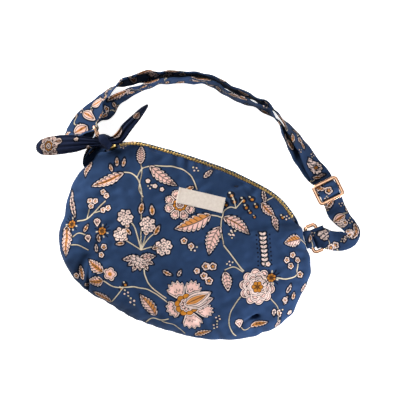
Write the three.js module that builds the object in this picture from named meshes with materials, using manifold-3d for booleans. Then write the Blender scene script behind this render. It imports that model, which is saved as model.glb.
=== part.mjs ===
// A belt bag in printed cotton, lying on its back with the strap laid out beyond the zip.
// Millimetres, +Z up. X runs along the bag and +Y points to the zip. The back panel rests on z = 0,
// and the origin is on it, under the middle of the bag.
import * as THREE from "three";
import { mergeVertices } from "three/addons/utils/BufferGeometryUtils.js";
import Module from "manifold-3d";

const wasm = await Module();
wasm.setup();

// Driving dimensions
const GAP = 0.3; // clearance between pieces that touch
const CLOTH = 1.6; // outer cloth with its lining
const BAG_HALF_LENGTH = 142.5;
const BAG_HALF_WIDTH = 96.6;
const BAG_THICKNESS = 60; // top of the front panel, before its fullness
const FULLNESS = { x: 6, y: -28, spreadX: 80, spreadY: 42, rise: 5 }; // where the filling has sunk to
const DOME_POWER = 2.3; // how square the front panel's section is
const DOME_EDGE = 0.5; // exponent of the section where it turns down to the seam
const DOME_EDGE_AT_ZIP = 0.92; // the same beside the zip, where it meets the tape at a slope
const SEAM_HEIGHT = 22;
const SEAM_LIFT = 2; // seam is this much higher on the zip side, and lower opposite
const BACK_CURL = 34; // band of the back panel that curls up to the seam

const ZIP = { start: 33, end: 142.5, slider: 145.8, fade: 6, inset: 5.2, frontRise: 6.5, backRise: 1.5 };
const TAPE = { thickness: 0.8, gap: 0.6 };
const CHAIN = { width: 4.6, height: 2.2, place: 0.6 }; // place: share of the bare tape from its front edge

const LABEL = { x: -1, y: 53, turn: 6, length: 52, width: 17, thickness: 0.9, lift: 0.45 };

const STRAP = { width: 22.5, thickness: 1.8 };
const WIRE = 2.8; // diameter of the rings and of the slide adjuster
const WRAP = WIRE / 2 + GAP + STRAP.thickness / 2; // radius of cloth bent round a wire
const RING = { length: 33, width: 15, corner: 3.2, rest: 1.6 }; // rest: strap's edge above the inside
const RING_LEFT = { x: -136.2, y: 87.3, heading: -52.3 }; // stands on edge, heading points to its tab
const RING_RIGHT = { x: 134.9, y: 54.4, z: 7, heading: 41.3 }; // lies flat, heading points to the strap
const TAB = { width: 20, lead: 9 };
const TAB_LEFT = { angle: 157.5, clear: 0.95 }; // where it leaves the seam, and how far outside it
const TAB_RIGHT = { angle: 21.5, clear: 0.85 };
const ADJUSTER = { x: 131.7, y: 110.4, z: 9, heading: -45, length: 24, width: 30.5, corner: 3 };

const KNOT = { x: -121.6, y: 80.2, z: 40.6, radius: 7.6, bandRadius: 6, bandTube: 3.4 };

// Outline of the bag seen from above: a squarish oval with its own power in each quarter, and small
// bumps where corners, tabs and puckers push the edge out or pull it in (degrees and millimetres).
const EDGE_POWERS = { upperRight: 2.15, upperLeft: 3.2, lowerLeft: 2.55, lowerRight: 2.25 };
const EDGE_BUMPS = [
  { angle: 46, out: 3.2, spread: 13 },
  { angle: 136, out: 3.4, spread: 9 },
  { angle: 158, out: -4.0, spread: 6 },
  { angle: -175, out: -3.0, spread: 5 },
  { angle: -124, out: -3.2, spread: 9 },
  { angle: -5, out: -3.2, spread: 5 },
  { angle: 20, out: -3.0, spread: 6 },
];

// Creases in the front panel: each is deepest at its start and runs out at its end.
const FOLDS = [
  { name: "left dart", fromX: -100, fromY: -72, toX: -97, toY: -28, width: 6, depth: 5 },
  { name: "right dart", fromX: 108, fromY: -72, toX: 86, toY: -40, width: 6, depth: 5 },
  { name: "dent beside label", fromX: 44, fromY: 82, toX: 30, toY: 66, width: 7, depth: 3 },
  { name: "dent at zip end", fromX: -96, fromY: 72, toX: -70, toY: 58, width: 9, depth: 3 },
];

// Cloth edge of the strap that stands on the floor, from the adjuster to the left ring (inner run)
// and back (outer run). lean is the strap's tilt: 0 lies towards the bag, 90 stands, 180 lies away.
const INNER_RUN = [
  { x: 118.0, y: 133.0, z: 1.6, lean: 8 },
  { x: 107.4, y: 138.4, z: 1.0, lean: 17 },
  { x: 95.8, y: 145.2, z: 0.6, lean: 25 },
  { x: 82.9, y: 153.6, z: 0.6, lean: 40 },
  { x: 66.3, y: 161.8, z: 0.6, lean: 62 },
  { x: 53.4, y: 167.3, z: 0.6, lean: 81 },
  { x: 39.8, y: 170.1, z: 0.6, lean: 101 },
  { x: 27.1, y: 172.0, z: 0.6, lean: 100 },
  { x: 13.5, y: 173.0, z: 0.6, lean: 102 },
  { x: -0.9, y: 172.9, z: 0.6, lean: 102 },
  { x: -13.6, y: 174.8, z: 0.6, lean: 102 },
  { x: -28.2, y: 178.7, z: 0.6, lean: 102 },
  { x: -41.5, y: 178.9, z: 0.6, lean: 102 },
  { x: -55.6, y: 174.5, z: 0.6, lean: 102 },
  { x: -70.9, y: 169.7, z: 0.6, lean: 101 },
  { x: -84.4, y: 163.9, z: 0.6, lean: 100 },
  { x: -94.3, y: 157.8, z: 0.6, lean: 100 },
  { x: -103.5, y: 149.4, z: 0.6, lean: 103 },
  { x: -112.4, y: 140.3, z: 0.6, lean: 108 },
  { x: -119.7, y: 131.5, z: 0.6, lean: 112 },
  { x: -123.9, y: 122.5, z: 0.6, lean: 116 },
  { x: -125.2, y: 114.2, z: 0.8, lean: 119 },
  { x: -129.3, y: 107.0, z: 1.4, lean: 116 },
  { x: -136.4, y: 103.4, z: 2.4, lean: 100 },
];
const OUTER_RUN = [
  { x: -148.0, y: 82.6, z: 3.0, lean: 86 },
  { x: -155.6, y: 72.6, z: 1.6, lean: 82 },
  { x: -164.2, y: 66.4, z: 0.8, lean: 78 },
  { x: -171.2, y: 70.6, z: 1.2, lean: 60 },
  { x: -171.8, y: 80.6, z: 1.2, lean: 39 },
  { x: -169.6, y: 92.4, z: 0.8, lean: 26 },
  { x: -164.8, y: 103.6, z: 0.6, lean: 25 },
  { x: -157.1, y: 116.2, z: 0.6, lean: 35 },
  { x: -149.2, y: 128.1, z: 0.6, lean: 47 },
  { x: -142.6, y: 138.0, z: 0.6, lean: 61 },
  { x: -133.7, y: 144.0, z: 0.6, lean: 84 },
  { x: -126.1, y: 146.6, z: 0.6, lean: 104 },
  { x: -118.0, y: 151.2, z: 0.6, lean: 112 },
  { x: -105.0, y: 158.2, z: 0.6, lean: 120 },
  { x: -92.3, y: 165.9, z: 0.6, lean: 112 },
  { x: -78.6, y: 172.9, z: 0.6, lean: 106 },
  { x: -63.0, y: 179.0, z: 0.6, lean: 103 },
  { x: -46.5, y: 183.4, z: 0.6, lean: 102 },
  { x: -30.2, y: 184.6, z: 0.6, lean: 102 },
  { x: -9.8, y: 181.2, z: 0.6, lean: 102 },
  { x: 14.9, y: 179.4, z: 0.6, lean: 101 },
  { x: 37.6, y: 177.2, z: 0.6, lean: 97 },
  { x: 54.9, y: 172.6, z: 0.6, lean: 79 },
  { x: 69.0, y: 166.6, z: 0.6, lean: 65 },
  { x: 85.3, y: 157.8, z: 0.6, lean: 54 },
  { x: 98.5, y: 149.2, z: 0.8, lean: 44 },
  { x: 110.0, y: 141.4, z: 2.8, lean: 26 },
  { x: 120.0, y: 135.2, z: 5.0, lean: 11 },
];

// The strap at the adjuster, in the adjuster's own frame: along the strap from its middle bar.
const SEWN_END = [
  { along: -1.2, z: 2.55 },
  { along: 0, z: 2.7 },
  { along: 1.9, z: 1.9 },
  { along: 2.7, z: 0 },
  { along: 1.9, z: -1.9 },
  { along: 0, z: -2.7 },
  { along: -3, z: -3.4 },
  { along: -6, z: -4.5 },
  { along: -10.6, z: -5.4 },
  { along: -15, z: -6.3 },
];
const OVER_BAR = [
  { along: -15, z: -3.0 },
  { along: -10.6, z: -2.9 },
  { along: -8.4, z: -1.9 },
  { along: -6, z: 0.6 },
  { along: -3, z: 3.9 },
  { along: 0, z: 5.1 },
  { along: 3, z: 3.9 },
  { along: 6, z: 0.6 },
  { along: 8.4, z: -1.9 },
  { along: 10.6, z: -2.9 },
  { along: 15, z: -4.6 },
];

// Middle line of the single strap from the adjuster round its turn to the right ring. side is the
// direction across the cloth in degrees, and tip how far its inner edge is raised.
const LAST_RUN = [
  { x: 149.4, y: 91.6, z: 2.8, side: -132, tip: 4 },
  { x: 157.6, y: 85.4, z: 5.6, side: -140, tip: 14 },
  { x: 166.6, y: 81.6, z: 7.2, side: -160, tip: 24 },
  { x: 172.6, y: 75.6, z: 7.8, side: 175, tip: 28 },
  { x: 172.4, y: 67.4, z: 7.2, side: 145, tip: 26 },
  { x: 165.6, y: 61.6, z: 5.2, side: 118, tip: 14 },
  { x: 156.5, y: 58.6, z: 5.4, side: 112, tip: 4 },
  { x: 148.0, y: 57.8, z: 9.4, side: 118, tip: 0 },
];
const STRAP_END = { side: 141, past: 13, drop: -0.4 }; // folded under the strap at the right ring

// The two tails of the tie: middle line, and how wide and how arched the cloth is there.
const TAIL_LEFT = [
  { x: -125.4, y: 77.4, z: 42.5, width: 8, arch: 2.0 },
  { x: -139.4, y: 72.4, z: 43.5, width: 12.5, arch: 3.2 },
  { x: -151.6, y: 67.4, z: 41.5, width: 19, arch: 3.6 },
  { x: -166, y: 61.6, z: 35, width: 21.5, arch: 3.0 },
  { x: -180, y: 55.4, z: 26, width: 21, arch: 2.2 },
  { x: -189, y: 51.4, z: 19, width: 17, arch: 1.2 },
  { x: -194.5, y: 49.4, z: 14.5, width: 8, arch: 0.4 },
];
const TAIL_RIGHT = [
  { x: -118.6, y: 81.8, z: 42.5, width: 7, arch: 2.0 },
  { x: -109.6, y: 87.4, z: 42, width: 12.5, arch: 2.8 },
  { x: -104.7, y: 103.0, z: 33.5, width: 12.5, arch: 3.0 },
  { x: -99.0, y: 118.4, z: 21.5, width: 9.5, arch: 2.2 },
  { x: -95.5, y: 129.4, z: 11, width: 6.5, arch: 1.2 },
  { x: -93.2, y: 135.2, z: 5, width: 3, arch: 0.4 },
];
const TAIL_THICKNESS = 2.4;

// How finely the curved pieces are faceted
const AROUND = 80;
const FRONT_STEPS = 13;
const FRONT_INNER_STEPS = 7;
const BACK_STEPS = 6;
const STRAP_STEPS = 2;

const COLOURS = {
  cloth: { color: 0x2f4c78, roughness: 0.9, metalness: 0 },
  tape: { color: 0x1b2a48, roughness: 0.9, metalness: 0 },
  label: { color: 0xe8dcc6, roughness: 0.9, metalness: 0 },
  brass: { color: 0xa98c4c, roughness: 0.35, metalness: 1 },
  roseGold: { color: 0xd8a57c, roughness: 0.25, metalness: 1 },
};

const RAD = Math.PI / 180;
const UP = new THREE.Vector3(0, 0, 1);

function point(x, y, z) {
  return new THREE.Vector3(x, y, z);
}

function direction(degrees) {
  return point(Math.cos(degrees * RAD), Math.sin(degrees * RAD), 0);
}

function smooth(low, high, value) {
  return THREE.MathUtils.smoothstep(value, low, high);
}

function bell(distance) {
  return Math.exp(-distance * distance);
}

// Closed skin through loops of points with equal counts. A loop of one point closes an end, and
// joined skins run on from the last loop to the first. Faces are turned to point out.
function skin(loops, joined = false) {
  const positions = [];
  const starts = [];
  for (const loop of loops) {
    starts.push(positions.length / 3);
    for (const p of loop) {
      positions.push(p.x, p.y, p.z);
    }
  }
  const triangles = [];
  const last = joined ? loops.length : loops.length - 1;
  for (let i = 0; i < last; i += 1) {
    const j = (i + 1) % loops.length;
    const count = Math.max(loops[i].length, loops[j].length);
    for (let k = 0; k < count; k += 1) {
      const next = (k + 1) % count;
      const a = starts[i] + (loops[i].length > 1 ? k : 0);
      const b = starts[i] + (loops[i].length > 1 ? next : 0);
      const c = starts[j] + (loops[j].length > 1 ? k : 0);
      const d = starts[j] + (loops[j].length > 1 ? next : 0);
      if (loops[i].length > 1) {
        triangles.push([a, b, d]);
      }
      if (loops[j].length > 1) {
        triangles.push([a, d, c]);
      }
      if (loops[i].length > 1 && loops[j].length === 1) {
        triangles[triangles.length - 1] = [a, b, c];
      }
    }
  }
  const geometry = new THREE.BufferGeometry();
  geometry.setAttribute("position", new THREE.Float32BufferAttribute(positions, 3));
  const inward = volume(positions, triangles) < 0;
  geometry.setIndex(triangles.map(([a, b, c]) => (inward ? [a, c, b] : [a, b, c])).flat());
  geometry.computeVertexNormals();
  return geometry;
}

function volume(positions, triangles) {
  const corner = (i) => point(positions[3 * i], positions[3 * i + 1], positions[3 * i + 2]);
  let six = 0;
  for (const [a, b, c] of triangles) {
    six += corner(a).dot(corner(b).cross(corner(c)));
  }
  return six / 6;
}

function middle(loop) {
  const sum = loop.reduce((total, p) => total.add(p), point(0, 0, 0));
  return sum.divideScalar(loop.length);
}

// A solid swept through sections, with flat ends
function sweep(sections) {
  return skin([[middle(sections[0])], ...sections, [middle(sections[sections.length - 1])]]);
}

function solid(geometry) {
  const bare = geometry.clone();
  bare.deleteAttribute("normal");
  bare.deleteAttribute("uv");
  const merged = mergeVertices(bare);
  const mesh = new wasm.Mesh({
    numProp: 3,
    vertProperties: merged.attributes.position.array,
    triVerts: new Uint32Array(merged.index.array),
  });
  return new wasm.Manifold(mesh);
}

function fuse(...geometries) {
  const whole = geometries.map(solid).reduce((sum, part) => sum.add(part));
  const mesh = whole.getMesh();
  const geometry = new THREE.BufferGeometry();
  geometry.setAttribute("position", new THREE.BufferAttribute(mesh.vertProperties, 3));
  geometry.setIndex(new THREE.BufferAttribute(mesh.triVerts, 1));
  geometry.computeVertexNormals();
  return geometry;
}

// Distance from the middle of the bag to its edge, seen from above
function outlineRadius(angle) {
  const cos = Math.cos(angle);
  const sin = Math.sin(angle);
  const upper = cos > 0 ? EDGE_POWERS.upperRight : EDGE_POWERS.upperLeft;
  const lower = cos > 0 ? EDGE_POWERS.lowerRight : EDGE_POWERS.lowerLeft;
  const power = sin > 0 ? upper : lower;
  const across = Math.abs(cos / BAG_HALF_LENGTH) ** power + Math.abs(sin / BAG_HALF_WIDTH) ** power;
  let radius = across ** (-1 / power);
  for (const bump of EDGE_BUMPS) {
    const away = THREE.MathUtils.euclideanModulo(angle / RAD - bump.angle + 180, 360) - 180;
    radius += bump.out * bell(away / bump.spread);
  }
  return radius;
}

function seamHeight(angle) {
  return SEAM_HEIGHT + SEAM_LIFT * Math.sin(angle);
}

// 1 along the zip, fading to 0 past its ends
function zipShare(angle) {
  const degrees = THREE.MathUtils.euclideanModulo(angle / RAD, 360);
  const opens = smooth(ZIP.start - ZIP.fade, ZIP.start, degrees);
  const closes = 1 - smooth(ZIP.slider + 2, ZIP.slider + 2 + ZIP.fade, degrees);
  return opens * closes;
}

function foldDepth(x, y) {
  let depth = 0;
  for (const fold of FOLDS) {
    const runX = fold.toX - fold.fromX;
    const runY = fold.toY - fold.fromY;
    const reach = ((x - fold.fromX) * runX + (y - fold.fromY) * runY) / (runX * runX + runY * runY);
    const along = THREE.MathUtils.clamp(reach, 0, 1);
    const away = Math.hypot(x - fold.fromX - along * runX, y - fold.fromY - along * runY);
    depth += fold.depth * (1 - along) * bell(away / fold.width);
  }
  return depth;
}

// Outer face of the front panel. turn is the angle round the bag, and drop goes from 0 at the top of
// the dome to a quarter turn at the edge.
function frontPoint(turn, drop) {
  const zip = zipShare(turn);
  const edgeRadius = outlineRadius(turn) - zip * ZIP.inset;
  const edgeHeight = seamHeight(turn) + zip * ZIP.frontRise;
  const share = Math.sin(drop);
  const x = Math.cos(turn) * edgeRadius * share;
  const y = Math.sin(turn) * edgeRadius * share;
  const edge = THREE.MathUtils.lerp(DOME_EDGE, DOME_EDGE_AT_ZIP, zip);
  const dome = Math.max(0, 1 - share ** DOME_POWER) ** edge;
  const sunk = bell(Math.hypot((x - FULLNESS.x) / FULLNESS.spreadX, (y - FULLNESS.y) / FULLNESS.spreadY));
  const soft = 1 - share ** 8;
  const height = edgeHeight + (BAG_THICKNESS - edgeHeight) * dome;
  return point(x, y, height + soft * (FULLNESS.rise * sunk - foldDepth(x, y)));
}

// Outer face of the back panel. rise goes from 0 where it leaves the floor to 1 at the edge.
function backPoint(turn, rise) {
  const edgeRadius = outlineRadius(turn);
  const edgeHeight = seamHeight(turn) - GAP + zipShare(turn) * ZIP.backRise;
  const bend = rise * Math.PI / 2;
  const radius = edgeRadius - BACK_CURL * (1 - Math.sin(bend));
  return point(Math.cos(turn) * radius, Math.sin(turn) * radius, edgeHeight * (1 - Math.cos(bend)));
}

// Direction straight out of a panel, and the direction along it towards its edge
function panelFrame(panel, turn, step) {
  const small = 0.004;
  const down = panel(turn, step).sub(panel(turn, step - small)).normalize();
  const round = panel(turn + small, step).sub(panel(turn - small, step)).normalize();
  return { at: panel(turn, step), down, out: round.clone().cross(down).negate() };
}

const EDGE_DROP = Math.PI / 2;
const TURNS = Array.from({ length: AROUND }, (_, i) => (i / AROUND) * 2 * Math.PI);

function frontFrame(turn, drop) {
  const frame = panelFrame(frontPoint, turn, drop);
  if (frame.out.dot(direction(turn / RAD).add(UP)) < 0) {
    frame.out.negate();
  }
  return frame;
}

function backFrame(turn, rise) {
  const frame = panelFrame(backPoint, turn, rise);
  if (frame.out.dot(direction(turn / RAD).sub(UP)) < 0) {
    frame.out.negate();
  }
  return frame;
}

function bagFront() {
  const loops = [[frontPoint(0, 0)]];
  for (let i = 1; i <= FRONT_STEPS; i += 1) {
    loops.push(TURNS.map((turn) => frontPoint(turn, (i / FRONT_STEPS) * EDGE_DROP)));
  }
  for (let i = FRONT_INNER_STEPS; i > 0; i -= 1) {
    loops.push(TURNS.map((turn) => {
      const frame = frontFrame(turn, (i / FRONT_INNER_STEPS) * EDGE_DROP);
      return frame.at.addScaledVector(frame.out, -CLOTH);
    }));
  }
  loops.push([frontPoint(0, 0).addScaledVector(UP, -CLOTH)]);
  return skin(loops);
}

function bagBack() {
  const loops = [[point(0, 0, 0)]];
  for (let i = 0; i <= BACK_STEPS; i += 1) {
    loops.push(TURNS.map((turn) => backPoint(turn, i / BACK_STEPS)));
  }
  for (let i = BACK_STEPS; i > 0; i -= 1) {
    loops.push(TURNS.map((turn) => {
      const frame = backFrame(turn, i / BACK_STEPS);
      return frame.at.addScaledVector(frame.out, -CLOTH);
    }));
  }
  loops.push(TURNS.map((turn) => backPoint(turn, 0).addScaledVector(UP, CLOTH)));
  loops.push([point(0, 0, CLOTH)]);
  return skin(loops);
}

// Turns of the faceted panels that lie between two angles in degrees, with both angles themselves
function turnsBetween(start, end) {
  const inside = TURNS.filter((turn) => turn > start * RAD + 0.005 && turn < end * RAD - 0.005);
  return [start * RAD, ...inside, end * RAD];
}

// Outer face of the zip tape at one turn: tucked under the front edge, bare, tucked under the back edge.
// It follows the facets of the panels' inner faces.
function tapeLine(turn) {
  const frontSteps = [FRONT_INNER_STEPS - 2, FRONT_INNER_STEPS - 1, FRONT_INNER_STEPS];
  const backSteps = [BACK_STEPS, BACK_STEPS - 1];
  const frames = [
    ...frontSteps.map((step) => frontFrame(turn, (step / FRONT_INNER_STEPS) * EDGE_DROP)),
    ...backSteps.map((step) => backFrame(turn, step / BACK_STEPS)),
  ];
  return frames.map((frame) => ({
    at: frame.at.clone().addScaledVector(frame.out, -CLOTH - TAPE.gap),
    out: frame.out,
  }));
}

function zipTape() {
  const facets = TURNS.filter((turn) => turn > (ZIP.start - 2) * RAD && turn < (ZIP.slider + 4) * RAD);
  const sections = facets.map((turn) => {
    const line = tapeLine(turn);
    const inner = line.map((q) => q.at.clone().addScaledVector(q.out, -TAPE.thickness));
    return [...line.map((q) => q.at), ...inner.reverse()];
  });
  return sweep(sections);
}

// Middle of the chain on the bare tape at one turn, with the directions along, across and out
function chainFrame(turn) {
  const edges = (at) => tapeLine(at).slice(2, 4).map((q) => q.at);
  const mid = (at) => edges(at)[0].lerp(edges(at)[1], CHAIN.place);
  const [frontEdge, backEdge] = edges(turn);
  const small = 0.01;
  const along = mid(turn + small).sub(mid(turn - small)).normalize();
  const across = backEdge.sub(frontEdge).normalize();
  const out = across.clone().cross(along).normalize();
  if (out.z < 0) {
    out.negate();
  }
  return { at: mid(turn), along, across, out };
}

function zipTeeth() {
  const half = CHAIN.width / 2;
  const profile = [
    { across: -half, out: GAP },
    { across: -half, out: GAP + CHAIN.height * 0.6 },
    { across: -half * 0.5, out: GAP + CHAIN.height },
    { across: half * 0.5, out: GAP + CHAIN.height },
    { across: half, out: GAP + CHAIN.height * 0.6 },
    { across: half, out: GAP },
  ];
  const sections = turnsBetween(ZIP.start + 1, ZIP.end).map((turn) => {
    const frame = chainFrame(turn);
    return profile.map((p) => frame.at.clone()
      .addScaledVector(frame.across, p.across)
      .addScaledVector(frame.out, p.out));
  });
  return sweep(sections);
}

// Slider body with a waisted outline, and the bail that the tie is knotted on
function zipSlider() {
  const half = { length: 4.6, width: 2.8, waist: 2.2, height: 4 };
  const outline = new THREE.Shape();
  outline.moveTo(-half.length, -half.waist);
  outline.quadraticCurveTo(-half.length, -half.width, 0, -half.width);
  outline.lineTo(half.length, -half.width);
  outline.lineTo(half.length, half.width);
  outline.lineTo(0, half.width);
  outline.quadraticCurveTo(-half.length, half.width, -half.length, half.waist);
  const body = new THREE.ExtrudeGeometry(outline, {
    depth: half.height,
    curveSegments: 4,
    bevelEnabled: true,
    bevelThickness: 0.5,
    bevelSize: 0.5,
    bevelOffset: -0.5,
    bevelSegments: 1,
  });
  const arch = new THREE.QuadraticBezierCurve3(point(3, 0, 3.6), point(-1, 0, 9.5), point(-4, 0, 3.6));
  const wire = new THREE.Shape();
  wire.absarc(0, 0, 1, 0, 2 * Math.PI);
  const bail = new THREE.ExtrudeGeometry(wire, { steps: 8, curveSegments: 3, extrudePath: arch });
  const frame = chainFrame(ZIP.slider * RAD);
  const along = frame.along.clone().negate();
  const across = frame.out.clone().cross(along).normalize();
  const place = new THREE.Matrix4().makeBasis(along, across, frame.out);
  place.setPosition(frame.at.clone().addScaledVector(frame.out, GAP + 0.5));
  return fuse(body, bail).applyMatrix4(place);
}

// Outer face of the front panel over a place on the plan, and the direction out of it
function frontOver(x, y) {
  const turn = Math.atan2(y, x);
  const edge = outlineRadius(turn) - zipShare(turn) * ZIP.inset;
  const drop = Math.asin(Math.min(1, Math.hypot(x, y) / edge));
  return frontPoint(turn, drop);
}

function frontNormal(x, y) {
  const step = 1.5;
  const slopeX = (frontOver(x + step, y).z - frontOver(x - step, y).z) / (2 * step);
  const slopeY = (frontOver(x, y + step).z - frontOver(x, y - step).z) / (2 * step);
  return point(-slopeX, -slopeY, 1).normalize();
}

function labelPiece() {
  const columns = 12;
  const rows = 4;
  const long = direction(LABEL.turn);
  const wide = direction(LABEL.turn + 90);
  const sections = [];
  for (let i = 0; i <= columns; i += 1) {
    const lower = [];
    const upper = [];
    for (let j = 0; j <= rows; j += 1) {
      const along = (i / columns - 0.5) * LABEL.length;
      const across = (j / rows - 0.5) * LABEL.width;
      const x = LABEL.x + long.x * along + wide.x * across;
      const y = LABEL.y + long.y * along + wide.y * across;
      const out = frontNormal(x, y);
      lower.push(frontOver(x, y).addScaledVector(out, LABEL.lift));
      upper.push(frontOver(x, y).addScaledVector(out, LABEL.lift + LABEL.thickness));
    }
    sections.push([...lower, ...upper.reverse()]);
  }
  return skin([[middle(sections[0])], ...sections, [middle(sections[columns])]]);
}

// A closed loop of round wire through points, with an octagonal section
function wireLoop(points, radius) {
  const sides = 8;
  const loops = points.map((p, i) => {
    const before = points[(i + points.length - 1) % points.length];
    const after = points[(i + 1) % points.length];
    const along = after.clone().sub(before).normalize();
    const side = along.clone().cross(UP).normalize();
    const corner = p.clone().sub(before).normalize().dot(after.clone().sub(p).normalize());
    const stretch = 1 / Math.sqrt((1 + corner) / 2);
    return Array.from({ length: sides }, (_, k) => {
      const a = ((k + 0.5) / sides) * 2 * Math.PI;
      return p.clone()
        .addScaledVector(side, Math.cos(a) * radius * stretch)
        .addScaledVector(UP, Math.sin(a) * radius);
    });
  });
  return skin(loops, true);
}

// Middle line of a rectangle with round corners, lying on the XY plane
function roundedRectangle(length, width, corner) {
  const arcSteps = 4;
  const points = [];
  const quarters = [[1, 1, 0], [-1, 1, 90], [-1, -1, 180], [1, -1, 270]];
  for (const [sideX, sideY, start] of quarters) {
    for (let i = 0; i <= arcSteps; i += 1) {
      const a = (start + (i / arcSteps) * 90) * RAD;
      const x = sideX * (length / 2 - corner) + Math.cos(a) * corner;
      const y = sideY * (width / 2 - corner) + Math.sin(a) * corner;
      points.push(point(x, y, 0));
    }
  }
  return points;
}

function ringWire() {
  return wireLoop(roundedRectangle(RING.length - WIRE, RING.width - WIRE, RING.corner), WIRE / 2);
}

// The left ring stands on its short side, with its bars upright
function ringLeft() {
  const heading = direction(RING_LEFT.heading);
  const place = new THREE.Matrix4().makeBasis(UP, heading, UP.clone().cross(heading));
  place.setPosition(RING_LEFT.x, RING_LEFT.y, GAP + RING.length / 2);
  return ringWire().applyMatrix4(place);
}

function ringRight() {
  const heading = direction(RING_RIGHT.heading);
  const bars = direction(RING_RIGHT.heading - 90);
  const place = new THREE.Matrix4().makeBasis(bars, heading, UP);
  place.setPosition(RING_RIGHT.x, RING_RIGHT.y, RING_RIGHT.z);
  return ringWire().applyMatrix4(place);
}

function strapSlider() {
  const frame = wireLoop(
    roundedRectangle(ADJUSTER.length - WIRE, ADJUSTER.width - WIRE, ADJUSTER.corner), WIRE / 2);
  const bar = new THREE.CylinderGeometry(WIRE / 2, WIRE / 2, ADJUSTER.width - WIRE, 8);
  const along = direction(ADJUSTER.heading);
  const place = new THREE.Matrix4().makeBasis(along, direction(ADJUSTER.heading + 90), UP);
  place.setPosition(ADJUSTER.x, ADJUSTER.y, ADJUSTER.z);
  return fuse(frame, bar).applyMatrix4(place);
}

// A flat band of cloth through stations { at, side }, where side is the direction across it. A skewed
// band keeps that direction, and any other is cut square to its path.
function band(stations, width, skewed = false) {
  const { thickness } = STRAP;
  const path = new THREE.CatmullRomCurve3(stations.map((s) => s.at), false, "centripetal");
  const count = (stations.length - 1) * STRAP_STEPS;
  const soft = Math.min(0.5, thickness / 3);
  const halfWidth = width / 2;
  const halfThick = thickness / 2;
  const profile = [
    [halfWidth - soft, halfThick], [halfWidth, 0], [halfWidth - soft, -halfThick],
    [soft - halfWidth, -halfThick], [-halfWidth, 0], [soft - halfWidth, halfThick],
  ];
  const sections = [];
  for (let i = 0; i <= count; i += 1) {
    const t = i / count;
    const along = path.getTangent(t);
    const side = blendSides(stations, t);
    if (!skewed) {
      side.addScaledVector(along, -side.dot(along)).normalize();
    }
    const face = along.clone().cross(side).normalize();
    const at = path.getPoint(t);
    sections.push(profile.map(([across, up]) => at.clone()
      .addScaledVector(side, across)
      .addScaledVector(face, up)));
  }
  return sweep(sections);
}

function blendSides(stations, t) {
  const reach = t * (stations.length - 1);
  const i = Math.min(Math.floor(reach), stations.length - 2);
  return stations[i].side.clone().lerp(stations[i + 1].side, reach - i).normalize();
}

// Stations of a run of strap given by the edge that stands on the floor. bagOnRight tells on which
// hand the bag lies as the run goes on.
function edgeStations(run, bagOnRight) {
  return run.map((row, i) => {
    const before = run[Math.max(0, i - 1)];
    const after = run[Math.min(run.length - 1, i + 1)];
    const along = point(after.x - before.x, after.y - before.y, 0).normalize();
    const inward = bagOnRight ? point(along.y, -along.x, 0) : point(-along.y, along.x, 0);
    const side = inward.multiplyScalar(Math.cos(row.lean * RAD));
    side.addScaledVector(UP, Math.sin(row.lean * RAD));
    const lift = STRAP.thickness / 2 * Math.abs(Math.cos(row.lean * RAD));
    const at = point(row.x, row.y, row.z + lift).addScaledVector(side, STRAP.width / 2);
    return { at, side };
  });
}

function adjusterStations(rows) {
  const along = direction(ADJUSTER.heading);
  const side = direction(ADJUSTER.heading - 90);
  return rows.map((row) => ({
    at: point(ADJUSTER.x, ADJUSTER.y, ADJUSTER.z + row.z).addScaledVector(along, row.along),
    side: side.clone(),
  }));
}

// A quarter turn of cloth round an upright bar of the left ring: along the bag's side of the ring, then
// out through it
function leftRingTurn() {
  const heading = direction(RING_LEFT.heading);
  const outside = direction(RING_LEFT.heading - 90);
  const barOffset = (RING.width - WIRE) / 2;
  const height = GAP + WIRE + RING.rest + STRAP.width / 2;
  const bar = point(RING_LEFT.x, RING_LEFT.y, height).addScaledVector(heading, -barOffset);
  const stations = [];
  const lead = 4;
  const arcSteps = 3;
  stations.push({
    at: bar.clone().addScaledVector(outside, -WRAP).addScaledVector(heading, -lead),
    side: UP.clone(),
  });
  for (let i = 0; i <= arcSteps; i += 1) {
    const a = (i / arcSteps) * Math.PI / 2;
    const at = bar.clone()
      .addScaledVector(outside, -Math.cos(a) * WRAP)
      .addScaledVector(heading, Math.sin(a) * WRAP);
    stations.push({ at, side: UP.clone() });
  }
  stations.push({
    at: bar.clone().addScaledVector(heading, WRAP).addScaledVector(outside, lead),
    side: UP.clone(),
  });
  return stations;
}

function lastRunStations() {
  return LAST_RUN.map((row) => {
    const side = direction(row.side).multiplyScalar(Math.cos(row.tip * RAD));
    side.addScaledVector(UP, Math.sin(row.tip * RAD));
    return { at: point(row.x, row.y, row.z), side };
  });
}

// The strap goes over the far bar of the right ring, down through it and back under itself
function rightRingTurn() {
  const heading = direction(RING_RIGHT.heading);
  const bars = direction(RING_RIGHT.heading - 90);
  const barOffset = (RING.width - WIRE) / 2;
  const inside = 4.7; // from the far bar to the middle of the turn
  const shift = 1; // the strap sits to one end of the ring
  const far = point(RING_RIGHT.x, RING_RIGHT.y, RING_RIGHT.z)
    .addScaledVector(heading, barOffset)
    .addScaledVector(bars, shift);
  const turn = far.clone().addScaledVector(heading, -inside);
  const across = bars.clone().negate();
  const stations = [{ at: far.clone().addScaledVector(UP, WRAP), side: across.clone() }];
  for (let i = 0; i <= 4; i += 1) {
    const a = (i / 4) * Math.PI;
    const at = turn.clone()
      .addScaledVector(UP, Math.cos(a) * WRAP)
      .addScaledVector(heading, -Math.sin(a) * WRAP);
    stations.push({ at, side: across.clone() });
  }
  stations.push({ at: far.clone().addScaledVector(UP, -WRAP), side: across.clone() });
  const end = turn.clone()
    .addScaledVector(heading, STRAP_END.past)
    .addScaledVector(UP, STRAP_END.drop - WRAP);
  stations.push({ at: end, side: direction(STRAP_END.side) });
  return stations;
}

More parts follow.
